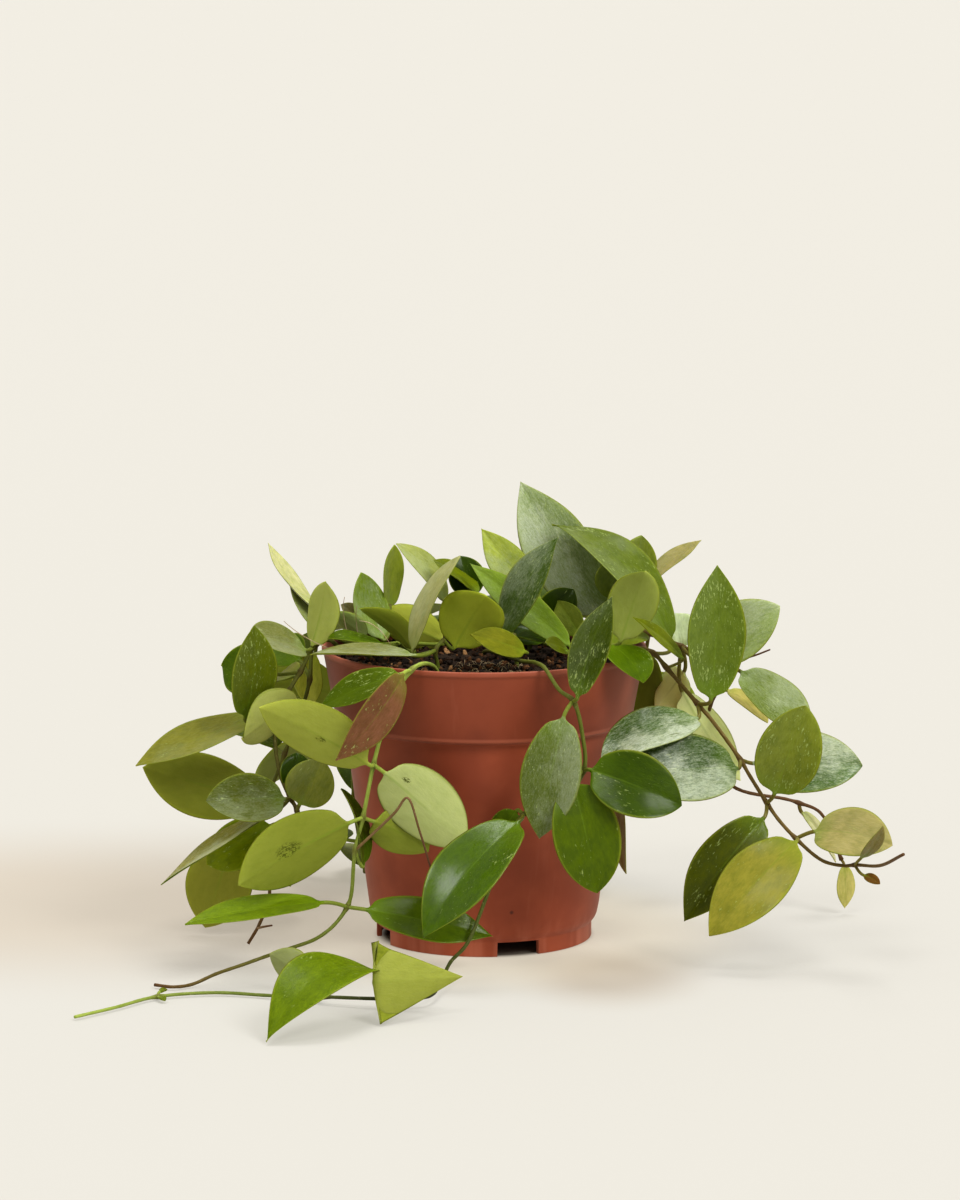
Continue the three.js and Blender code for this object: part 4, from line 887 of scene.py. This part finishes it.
# %% Looks
Look = namedtuple("Look", "upper under fleck silver dull")
LOOKS = {  # the upper and the under side as a painter reads them, fleck, silver with its painted sheen, dullness
    "green": ((82, 104, 4), (135, 151, 60), 0.45, 0.0, 0.36),
    "bright": ((103, 113, 12), (151, 163, 52), 0.25, 0.0, 0.34),
    "bright_grey": ((138, 151, 46), (140, 160, 54), 0.4, 0.1, 0.4),
    "bright_soft": ((119, 143, 46), (140, 160, 54), 0.4, 0.1, 0.4),
    "dark": ((59, 80, 2), (118, 135, 47), 0.4, 0.0, 0.32),
    "lit": ((125, 139, 2), (118, 135, 47), 0.4, 0.0, 0.32),
    "deep": ((87, 107, 5), (118, 135, 47), 0.4, 0.0, 0.32),
    "glossy": ((75, 101, 2), (130, 150, 54), 0.35, 0.0, 0.22),
    "flecked": ((78, 94, 6), (135, 151, 60), 0.9, 0.0, 0.38),
    "flecked_dark": ((60, 75, 2), (116, 134, 54), 0.9, 0.08, 0.36),
    "flecked_mid": ((99, 112, 9), (116, 134, 54), 0.9, 0.05, 0.38),
    "frosted": ((66, 86, 18), (116, 134, 54), 0.7, 0.34, 0.36),
    "streaked": ((93, 109, 14), (130, 148, 60), 0.75, 0.12, 0.34),
    "olive_flecked": ((122, 133, 48), (130, 142, 64), 0.7, 0.05, 0.42),
    "dark_silver": ((122, 143, 24), (130, 148, 60), 0.6, 0.3, 0.3),
    "beige": ((199, 184, 114), (185, 176, 112), 0.1, 0.0, 0.5),
    "grey_olive": ((172, 167, 112), (142, 152, 80), 0.4, 0.25, 0.4),
    "beige_pale": ((208, 204, 158), (222, 217, 171), 0.1, 0.0, 0.5),
    "flecked_pale": ((106, 124, 42), (142, 154, 70), 0.9, 0.05, 0.38),
    "spring": ((104, 125, 13), (150, 166, 56), 0.3, 0.0, 0.36),
    "yellow_pale": ((110, 124, 22), (174, 182, 101), 0.3, 0.0, 0.42),
    # painted light: a pale olive copy, lighter to stand in for the light on a leaf that lies in shade here
    "painted_lit_olive": ((186, 186, 68), (197, 197, 78), 0.2, 0.0, 0.42),
    "silver_streaked": ((159, 173, 109), (142, 156, 80), 0.9, 0.55, 0.34),
    "moss": ((119, 116, 42), (118, 126, 44), 0.3, 0.1, 0.4),
    "moss_light": ((139, 143, 64), (118, 126, 44), 0.3, 0.1, 0.4),
    "silver": ((67, 92, 32), (140, 154, 86), 0.4, 0.95, 0.3),
    "silver_deep": ((60, 83, 26), (140, 154, 86), 0.4, 0.7, 0.32),
    "silver_bright": ((87, 112, 52), (140, 154, 86), 0.4, 0.95, 0.3),
    "silver_green": ((116, 130, 57), (140, 154, 86), 0.5, 0.4, 0.33),
    "silver_big": ((143, 160, 108), (142, 156, 80), 0.9, 0.75, 0.34),
    "silver_flat": ((112, 116, 56), (140, 150, 71), 0.3, 0.4, 0.36),
    "silver_narrow": ((138, 131, 52), (92, 106, 26), 0.3, 0.5, 0.34),
    "grey": ((94, 107, 46), (140, 150, 86), 0.75, 0.35, 0.46),
    "grey_green": ((86, 95, 23), (138, 152, 70), 0.6, 0.25, 0.4),
    "grey_pale": ((109, 113, 55), (138, 152, 70), 0.6, 0.25, 0.4),
    "purple_grey": ((124, 112, 64), (122, 118, 77), 0.4, 0.2, 0.42),
    "olive": ((163, 157, 100), (137, 143, 59), 0.35, 0.05, 0.4),
    "yellow_olive": ((148, 141, 54), (154, 156, 69), 0.5, 0.0, 0.33),
    "dark_olive": ((81, 90, 3), (112, 122, 43), 0.5, 0.0, 0.3),
    "yellow": ((134, 134, 35), (146, 149, 69), 0.1, 0.0, 0.4),
    "pale": ((154, 145, 94), (148, 152, 103), 0.2, 0.1, 0.45),
    "pale_green": ((146, 155, 82), (140, 152, 81), 0.4, 0.25, 0.42),
    "pale_speckled": ((177, 184, 83), (140, 152, 69), 0.95, 0.4, 0.4),
    "backlit": ((202, 202, 151), (183, 185, 167), 0.1, 0.0, 0.5),
    "light": ((89, 113, 14), (147, 154, 64), 0.3, 0.0, 0.42),
    "light_pale": ((89, 113, 14), (158, 166, 76), 0.3, 0.0, 0.42),
    "light_deep": ((89, 113, 14), (134, 141, 55), 0.3, 0.0, 0.42),
    "pale_under": ((89, 113, 14), (181, 193, 125), 0.3, 0.0, 0.42),
    "yellow_under": ((99, 117, 14), (182, 193, 69), 0.3, 0.0, 0.42),
    "yellow_soft": ((99, 117, 14), (161, 167, 89), 0.3, 0.0, 0.42),
    "olive_under": ((79, 93, 8), (138, 143, 54), 0.3, 0.0, 0.42),
    "olive_back": ((79, 93, 8), (180, 188, 77), 0.3, 0.0, 0.42),
    "beige_under": ((124, 130, 37), (221, 228, 168), 0.2, 0.0, 0.5),
    "purple": ((124, 86, 62), (114, 74, 58), 0.6, 0.0, 0.42),
    "brown": ((116, 80, 32), (97, 63, 43), 0.1, 0.0, 0.6),
    "lime_under": ((152, 159, 55), (148, 154, 68), 0.1, 0.0, 0.45),
    "pale_silver": ((234, 247, 215), (148, 158, 117), 0.3, 0.5, 0.4),
    "pale_olive": ((128, 142, 50), (126, 138, 69), 0.2, 0.1, 0.42),
    "lime": ((92, 101, 30), (83, 91, 57), 0.1, 0.0, 0.42),
}
LOOKS = {name: Look(shade(*up), shade(*down), *rest) for name, (up, down, *rest) in LOOKS.items()}
BARKS = {
    "green": shade(112, 122, 50),
    "lime": shade(158, 174, 82),
    "olive": shade(94, 90, 38),
    "olive_brown": shade(112, 92, 48),
    "brown": shade(104, 74, 46),
    "black": shade(44, 46, 28),
}
print(len(LOOKS), "looks for leaves and", len(BARKS), "for stems")

# %% [markdown]
# ## One leaf
# A leaf is one skin from its petiole to its tip. Its centre line is the petiole's arc followed by the
# midrib's, both simple curves with one control point. On that line stand rings with 32 points: round
# on the petiole, and on the blade a thin section with an upper and an under side that meet in a soft
# edge. The blade is fullest a little before its middle, rises from the midrib to its two edges like a
# shallow boat, and waves a little along them.

# %% The leaf's section and outline
# Sizes are in millimetres, and the rest are shares: of the thickness left at the rim, of the blade over
# which the round petiole opens, and of the half width by which the edges rise.
BLADE = {"thick": 1.0, "rim": 0.3, "petiole": 0.72, "opens": 0.07, "cup": 0.16, "cup_power": 1.7}
OUTLINE = {"blunt": 0.52, "early": 0.92}  # its power at the foot, and the one that moves its widest place
POINTED = {"narrow": 0.5, "broad": 0.06, "late": 0.2, "from": 0.4, "to": 0.62}  # a broad leaf tapers less
LEAST = {"from": 0.5, "to": 0.98, "tip": 0.08}  # the least half width: the petiole's, then the tip's
GROOVE = {"wide": 0.7, "upper": 0.16, "under": 0.3, "fades": 0.6}  # the midrib: hollow above, ridge below
WAVE = {"high": (0.01, 0.035), "count": (0.7, 1.6), "sets_in": (0.05, 0.4)}  # high: a share of the width
TWIST, TWIST_ABOUT = 0.1, 0.2  # radians either way, and the share of the blade that stays in place
TINT = (0.9, 1.1), ([0.95, 0.98, 0.92], [1.05, 1.02, 1.08])  # how far its colours may stray
SMALL_LEAF, SMALL_PETIOLE, PETIOLE_PULL = 9, 0.75, 0.3
AROUND, STALK_ROWS, BLADE_ROWS = 32, 8, 30
NO_BLOT = (9.0, 9.0, 0.0)  # far from any scar, and none here

# The points of a ring gather towards its two edges, and the section is thickest in the middle.
angle = np.pi - np.arange(AROUND) * 2 * np.pi / AROUND
across_share = np.cos(angle + 0.25 * np.sin(2 * angle))
rise_share = np.sign(np.sin(angle).round(6)) * (1 - np.abs(across_share).clip(0, 1) ** 3) ** 0.6
even = np.linspace(0, 1, BLADE_ROWS)
blade_t = 0.4 * even + 0.6 * (0.5 - 0.5 * np.cos(np.pi * even))
stalk_t = np.linspace(0, 1, STALK_ROWS, endpoint=False)
print("a leaf has", STALK_ROWS + BLADE_ROWS, "rings of", AROUND, "points")


def half_width(t, wide, long):
    """Half the width, times the sine of pi times t to the power early, itself to a power that grows
    from blunt at the foot towards the tip. The growth is less for a leaf that is broad for its length,
    and comes late, so that a round leaf still ends in a short point."""
    broad = step(wide / long, POINTED["from"], POINTED["to"])
    taper = POINTED["narrow"] + (POINTED["broad"] - POINTED["narrow"]) * broad
    bow = np.sin(np.pi * t ** OUTLINE["early"]).clip(0)
    return wide / 2 * bow ** (OUTLINE["blunt"] + taper * t + POINTED["late"] * broad * t**9)


def arc(start, pull, end, t):
    """The curve (1-t) squared start + 2t(1-t) pull + t squared end, and its direction."""
    t = t[:, None]
    line = (1 - t) ** 2 * start + 2 * t * (1 - t) * pull + t**2 * end
    return line, unit(2 * (1 - t) * (pull - start) + 2 * t * (end - pull))


# %% The leaf's skin
def leaf_rings(one, start, place, stalk_tone, draw):
    """The rings of a leaf, and what its material needs to know at each point. A point is its place on
    the centre line, plus an offset times the side, plus another times the normal. On the petiole they
    are a circle's. On the blade the first is the half width times the point's share of it, and the
    second adds up the section's thickness, the cup and the wave, which grow towards the edges, and the
    midrib's relief, which is a bell curve across."""
    foot, tip = place(one.foot), place(one.tip)
    face = np.array(one.face, float)
    side = unit(np.cross(tip - foot, face))
    pull = (foot + tip) / 2 + 2 * one.arch * unit(np.cross(side, tip - foot))
    if one.bend is not None:
        pull = place(one.bend)
        side = unit(np.cross(pull - foot, tip - pull))
        side = side * np.sign(np.cross(side, tip - pull) @ face)
    midrib, slope = arc(foot, pull, tip, blade_t)
    normal = unit(np.cross(side, slope))
    twist = draw.uniform(-TWIST, TWIST) * (blade_t - TWIST_ABOUT)[:, None]
    sides = np.cos(twist) * side + np.sin(twist) * normal
    normals = np.cos(twist) * normal - np.sin(twist) * side
    reach = np.linalg.norm(foot - start)
    stalk, along = arc(start, foot - PETIOLE_PULL * reach * slope[0], foot, stalk_t)
    stalk_up = unit(normal[0] - along * (along @ normal[0])[:, None])
    stalk_side = np.cross(along, stalk_up)

    centre = np.vstack([stalk, midrib])[:, None]
    sides = np.vstack([stalk_side, sides])[:, None]
    normals = np.vstack([stalk_up, normals])[:, None]
    t = np.concatenate([stalk_t - 1, blade_t])[:, None]
    stout = BLADE["petiole"] * (SMALL_PETIOLE if one.wide < SMALL_LEAF else 1.0)
    run = run_along(centre[:, 0])
    run = (run - run[STALK_ROWS])[:, None]
    length = run[-1, 0]
    half = half_width(t.clip(0), one.wide, length)
    flat = step(t, 0.0, BLADE["opens"])
    half = np.maximum(half, stout * (1 - step(t, LEAST["from"], LEAST["to"])) + LEAST["tip"])
    body = BLADE["rim"] + (1 - BLADE["rim"]) * np.sqrt(half / one.wide * 2).clip(0, 1)
    thick = BLADE["thick"] / 2 * body
    high = draw.uniform(*WAVE["high"]) * one.wide
    wave = high * np.sin(2 * np.pi * (draw.uniform(*WAVE["count"]) * t + draw.uniform()))
    edge = np.abs(across_share)
    groove = np.exp(-((half * across_share / GROOVE["wide"]) ** 2))
    cup = BLADE["cup"] * half * edge ** BLADE["cup_power"]
    lift = cup + wave * edge**2 * np.sign(across_share) * step(t, *WAVE["sets_in"])
    ridge = -GROOVE["under"] * groove * (1 - GROOVE["fades"] * t)
    relief = np.where(rise_share > 0, -GROOVE["upper"] * groove, ridge)
    round_x, round_y = stout * np.cos(angle), stout * np.sin(angle)
    offset_x = (1 - flat) * round_x + flat * half * across_share
    offset_y = (1 - flat) * round_y + flat * (rise_share * thick + lift + relief)
    rings = centre + offset_x[..., None] * sides + offset_y[..., None] * normals

    full = np.ones((len(t), AROUND))
    look = LOOKS[one.look]
    tint = draw.uniform(*TINT[0]) * draw.uniform(*TINT[1])
    blot = full[..., None] * NO_BLOT
    if one.blot:
        at_t, at_s, size = one.blot
        blot = np.stack([(t - at_t) * length / size * full, (across_share - at_s) * half / size, full], -1)
    marks = {
        "blade": np.stack([full * across_share, full * t, full * rise_share], -1),
        "grain": np.stack([offset_x, run * full, full * draw.uniform(0, 500)], -1),
        "upper": look.upper * tint,
        "under": look.under * tint,
        "stalk": stalk_tone,
        "habit": np.array([look.fleck, look.silver, look.dull]),
        "blot": blot,
    }
    return rings, marks


# %% [markdown]
# ## A stem
# A vine's stem is a round tube that swells a little where leaves grow. Its line passes smoothly through
# the points of its route. At each point of the line a ring is set square to it, turned as little as can
# be from the ring before, so that the tube never twists. Stems are green where they are young and brown
# where they have turned woody.

# %% Lines and tubes
STEM_STEPS, STEM_SIDES = 7, 12
TWIG_STEPS, TWIG_SIDES, TWIG_TAPER = 6, 8, (1.1, 0.7)
KNOT = {"long": 1.7, "swell": 0.6}
UNEVEN = {"share": 0.04, "pace": 1.3}
UPRIGHT = np.array([-10.0, -4.0, 1.0])  # where a stem stands in the soil, from the soil's middle height


def smooth_line(points, steps):
    """A line through points, on each stretch a cubic whose end slopes come from the neighbours, where
    stretches count by the square root of their length."""
    p = np.vstack([2 * points[0] - points[1], points, 2 * points[-1] - points[-2]])
    gap = np.sqrt(np.linalg.norm(np.diff(p, axis=0), axis=1))[:, None]
    a, b, c, d = p[:-3], p[1:-2], p[2:-1], p[3:]
    before, here, after = gap[:-2], gap[1:-1], gap[2:]
    leave = here * ((b - a) / before - (c - a) / (before + here) + (c - b) / here)
    reach = here * ((c - b) / here - (d - b) / (here + after) + (d - c) / after)
    t = np.linspace(0, 1, steps, endpoint=False)[None, :, None]
    b, c, leave, reach = (part[:, None] for part in (b, c, leave, reach))
    cubic = b + leave * t + (3 * (c - b) - 2 * leave - reach) * t**2 + (2 * (b - c) + leave + reach) * t**3
    return np.vstack([cubic.reshape(-1, 3), points[-1]])


def tube_rings(line, radius, sides=STEM_SIDES):
    """Rings round a line: at each point, radius times the cosine of the turn along one square
    direction, plus radius times its sine along the other."""
    along = unit(np.gradient(line, axis=0))
    carry = lambda last, ahead: unit(last - ahead * (last @ ahead))
    first = unit(np.array([1, 0.3, 0.1]))
    across = np.array(list(accumulate(along, carry, initial=first)))[1:]
    up = np.cross(along, across)
    turn = np.linspace(0, 2 * np.pi, sides, endpoint=False)[None, :, None]
    wide = radius[:, None, None]
    return line[:, None] + wide * (np.cos(turn) * across[:, None] + np.sin(turn) * up[:, None])


def tube_marks(line, radius, tones, draw, sides=STEM_SIDES, knots=0.0):
    """What the stem's material needs to know: the millimetres round and along it, its colour, blended
    evenly from one tone to the next, and where its nodes are."""
    run = run_along(line)
    full = np.ones((len(line), sides))
    share = run / run[-1]
    stops = np.linspace(0, 1, len(tones))
    tone = np.stack([np.interp(share, stops, np.array(tones)[:, k]) for k in range(3)], -1)[:, None]
    around = np.linspace(0, 2 * np.pi, sides, endpoint=False)[None] * radius[:, None]
    return {
        "blade": np.stack([0 * full, share[:, None] * full, full], -1),
        "stalk": tone,
        "grain": np.stack([around, run[:, None] * full, full * draw.uniform(0, 500)], -1),
        "upper": tone,
        "under": tone,
        "habit": np.stack([full * knots, 0 * full, 0 * full], -1),
        "blot": np.array(NO_BLOT),
    }


def stem_line(one):
    """The smooth line up through the soil and along the route, and the route's points."""
    root = np.array(one.root, float)
    upright = np.column_stack([np.tile(root, (len(UPRIGHT), 1)), SOIL["middle"] + UPRIGHT])
    spots = np.array([one.place(point) for point in one.route])
    return smooth_line(np.vstack([upright, spots]), STEM_STEPS), spots


def node_place(grown):
    """Which point of the stem's line a leaf grows from."""
    return (grown.node + len(UPRIGHT)) * STEM_STEPS


def stem_radius(one, line):
    """From foot to tip the radius falls evenly, swells by a bell curve round each leaf's node, and
    varies a little by the sine of the way along."""
    below = len(UPRIGHT) - 1
    share = ((np.arange(len(line)) / STEM_STEPS - below) / len(one.route)).clip(0, 1)
    radius = STEM["foot"] + (STEM["tip"] - STEM["foot"]) * share
    run = run_along(line)
    nodes = run[[node_place(grown) for grown in one.leaves]]
    knots = np.exp(-(((run[:, None] - nodes) / KNOT["long"]) ** 2)).max(axis=1)
    uneven = UNEVEN["share"] * np.sin(run * UNEVEN["pace"])
    return radius * (1 + KNOT["swell"] * knots + uneven), knots[:, None]


# %% [markdown]
# ## What a leaf is painted with
# The upper side is waxy and deep green, lighter round the midrib's foot. Flecks of silver lie on it in
# streaks that run with the length of the leaf: they are air pockets under the skin, so they are noise
# stretched along the leaf's own grain, cut off at a level. Where a leaf has much silver, cloudy patches
# join them, and with them a painted sheen: whitish crinkled patches, stronger towards one edge of the
# leaf, that stand in for the lamps' reflection on the wax. The under side is matt, and both meet in a
# thin pale rim.

# %% Leaf material
FLECK = solid_colour(168, 182, 110)
# the colour of the silver flecks and of the painted sheen
SILVER_AND_SHEEN = solid_colour(194, 202, 178)
RIM = solid_colour(128, 142, 48)
EDGE = solid_colour(82, 84, 26)
RIB = solid_colour(118, 146, 44)
YOUNG = solid_colour(118, 148, 34)
PETIOLE = solid_colour(122, 136, 58)
SCAR, SCAR_NARROW = solid_colour(74, 80, 24), 4.0  # a scar is longer than it is wide
DEEPEN = (0.58, 0.64, 0.4, 1.0)

paint = Paint("hoya_leaf", Coat_Roughness=0.2, Specular_IOR_Level=0.06, Subsurface_Weight=0.3,
              Subsurface_Radius=(1.0, 1.0, 0.35), Subsurface_Scale=0.0016)
s, t, h = paint.split(paint.mark("blade"))
axes = paint.split(paint.mark("grain"))
across = axes[0]
fleck, silver, dull = paint.split(paint.mark("habit"))
blot_x, blot_y, has_blot = paint.split(paint.mark("blot"))
upper, under = paint.mark("upper"), paint.mark("under")
top = paint.ease(h, -0.2, 0.2)
off = abs(across)

streak = paint.grain(axes, 1.5, 0.42, 3.0, 0.6)
gather = paint.grain(axes, 0.12, 0.09, 2.0)
fine = paint.grain(axes, 2.6, 1.3, 2.0)
cloud = paint.grain(axes, 0.34, 0.2, 4.0, 0.6)
crinkle = paint.grain(axes, 1.3, 0.4, 6.0, 0.78)

green = upper
darker = (gather, 0.35, 0.7, 0.4), (cloud, 0.42, 0.7, 0.45), (streak, 0.36, 0.6, 0.3)
for pattern, low, high, most in darker:
    green = paint.mix(paint.ease(pattern, low, high) * most, green, DEEPEN, "MULTIPLY")
green = paint.mix(paint.ease(t, 0.3, 0.0) * 0.3, green, YOUNG)
green = paint.mix(paint.ease(off, 0.4, 0.1) * paint.ease(t, 0.9, 0.2) * 0.22, green, RIB)
level = streak * 0.66 + fine * 0.22 + gather * 0.34 + fleck * 0.1
fleck_share = paint.ease(level, 0.75, 0.86) * paint.ease(fleck, 0.0, 0.3)
green = paint.mix(fleck_share * 0.6, green, FLECK)
# painted sheen: lighter towards one edge of the leaf, it joins the silver and stands in for the lamps'
# reflection on the wax
painted_sheen = paint.ease(gather - across * 0.035, 0.3, 0.75)
silver_and_sheen_share = paint.ease(crinkle * 0.8 + fine * 0.3 + painted_sheen * 0.24, 0.42, 0.96) * silver
green = paint.mix(silver_and_sheen_share, green, SILVER_AND_SHEEN)

plain_side = paint.mix(paint.ease(cloud, 0.35, 0.75) * 0.22, under, DEEPEN, "MULTIPLY")
plain_side = paint.mix(paint.ease(off, 0.7, 0.2) * paint.ease(t, 0.9, 0.1) * 0.3, plain_side, RIB)
colour = paint.mix(top, plain_side, green)
colour = paint.mix(paint.ease(abs(s), 0.9, 0.96) * 0.4, colour, RIM)
colour = paint.mix(paint.ease(abs(s), 0.955, 0.99) * 0.65, colour, EDGE)
stalk = paint.mix(0.3, paint.mark("stalk"), PETIOLE)
colour = paint.mix(paint.ease(t, 0.03, -0.08), colour, stalk)
blot_reach = (blot_x * blot_x + blot_y * blot_y * SCAR_NARROW).root()
blot_share = paint.ease(blot_reach + cloud * 0.9, 1.5, 1.0) * paint.ease(fine + streak, 0.92, 1.08)
colour = paint.mix(blot_share * has_blot * 0.85, colour, SCAR)

leaf_wax = paint.finish(
    Base_Color=colour,
    Roughness=(dull + fine * 0.12 + fleck_share * 0.12) * top + (1 - top) * 0.55,
    Coat_Weight=paint.ease(dull, 0.4, 0.2) * top * paint.ease(cloud + fine * 0.3, 0.35, 0.7) * 0.6,
    height=cloud * 0.7 + fine * 0.12 + streak * 0.2 + crinkle * silver * 0.5,
    depth=0.36,
)

# %% [markdown]
# Stems are dull and finely ridged along their length, with pale scars. Dry twigs, which are old flower
# stalks and aerial shoots, are the same but brown and rough.

# %% Stem material
NODE = solid_colour(84, 60, 34)
PALE_SCAR = solid_colour(168, 158, 118)

paint = Paint("hoya_stem", Specular_IOR_Level=0.2)
axes = paint.split(paint.mark("grain"))
ridge = paint.grain(axes, 2.2, 0.25, 3.0)
scar = paint.grain(axes, 0.8, 0.8, 3.0)
node_share = paint.split(paint.mark("habit"))[0]
bark = paint.mix(paint.ease(ridge, 0.35, 0.7) * 0.6, paint.mark("upper"), DEEPEN, "MULTIPLY")
bark = paint.mix(paint.ease(scar, 0.62, 0.7) * 0.35, bark, PALE_SCAR)
bark = paint.mix(node_share * 0.55, bark, NODE)
stem_skin = paint.finish(Base_Color=bark, Roughness=0.5 + ridge * 0.2, height=ridge, depth=0.25)

# %% [markdown]
# ## Growing the plant
# Every stem is one piece that takes the place of its CAD node: its tube, its leaves and its dry twigs
# gathered into one mesh. One seeded generator gives each leaf its own small wave, twist and tint.

# %% The plant
DRY = [shade(150, 122, 88), shade(92, 58, 40)]
FIRST_SEED = 100


def grow(one, seed):
    """One stem with its leaves in slot 0 of its skins and its tube and twigs in slot 1."""
    draw = np.random.default_rng(seed)
    shell = Shell()
    line, spots = stem_line(one)
    radius, knots = stem_radius(one, line)
    tones = [BARKS[name] for name in one.bark]
    stem_marks = tube_marks(line, radius, tones, draw, knots=knots)
    shell.add(tube_rings(line, radius), 1, **stem_marks)
    for grown in one.leaves:
        stalk_tone = stem_marks["upper"][node_place(grown), 0]
        rings, marks = leaf_rings(grown, spots[grown.node], one.place, stalk_tone, draw)
        shell.add(rings, 0, **marks)
    for thick, points in one.twigs:
        twig = smooth_line(np.array([one.place(point) for point in points]), TWIG_STEPS)
        slim = thick * np.linspace(*TWIG_TAPER, len(twig))
        shell.add(tube_rings(twig, slim, TWIG_SIDES), 1, **tube_marks(twig, slim, DRY, draw, TWIG_SIDES))
    return shell.piece("leafy_" + one.name, [leaf_wax, stem_skin], "foliage", one.name)


for number, one in enumerate(STEMS):
    grow(one, FIRST_SEED + number)

# %% [markdown]
# Where a stem lies on the soil it puts out a fringe of fine pale roots, and a few longer ones dry out
# in the air among the leaves on the left. Each is a thin tube on an arc with one control point.

# %% Fine roots
ROOT_TONES = [shade(206, 190, 158), shade(160, 128, 98)]
AIR_ROOTS = [
    ([-46, -16, 118], [-39, -24, 118], [-34, -28, 108]),
    ([-50, -8, 112], [-53, -10, 121], [-51.5, -12, 127]),
    ([-46, -6, 110], [-48, -8, 119], [-47, -10, 123.5]),
    ([-58, -24, 108], [-68, -30, 112], [-74, -30, 118]),
    ([-36, -30, 107], [-30, -40, 106], [-27, -42, 103]),
]
AIR_ROOT = {"foot": 0.2, "tip": 0.1, "sides": 5}
FRINGE = {"count": 70, "x": (-9, 17), "y": (-40, -14), "reach": 5.5, "rise": 1.8, "arch": (0.6, 2)}
FRINGE_ROOT = {"thick": 0.09, "sides": 4}
ROOT_POINTS = 9


def add_root(line, thin, sides):
    """One root as a tube of a given half thickness at each point of its line."""
    roots.add(tube_rings(line, thin, sides), 0, **tube_marks(line, thin, ROOT_TONES, chance, sides))


roots = Shell()
share = np.linspace(0, 1, ROOT_POINTS)
for points in AIR_ROOTS:
    line, _ = arc(*(seen(point) for point in points), share)
    add_root(line, np.linspace(AIR_ROOT["foot"], AIR_ROOT["tip"], len(share)), AIR_ROOT["sides"])
for _ in range(FRINGE["count"]):
    start = np.array([chance.uniform(*FRINGE["x"]), chance.uniform(*FRINGE["y"])])
    end = start + chance.normal(0, FRINGE["reach"] / 2, 2)
    ends = [np.append(spot, soil_height(*spot)) for spot in (start, end)]
    pull = (ends[0] + ends[1]) / 2 + [0, 0, FRINGE["rise"] * chance.uniform(*FRINGE["arch"])]
    line, _ = arc(ends[0], pull, ends[1], share)
    add_root(line, np.full(len(share), FRINGE_ROOT["thick"]), FRINGE_ROOT["sides"])
roots.piece("fine_roots", [stem_skin], "foliage")
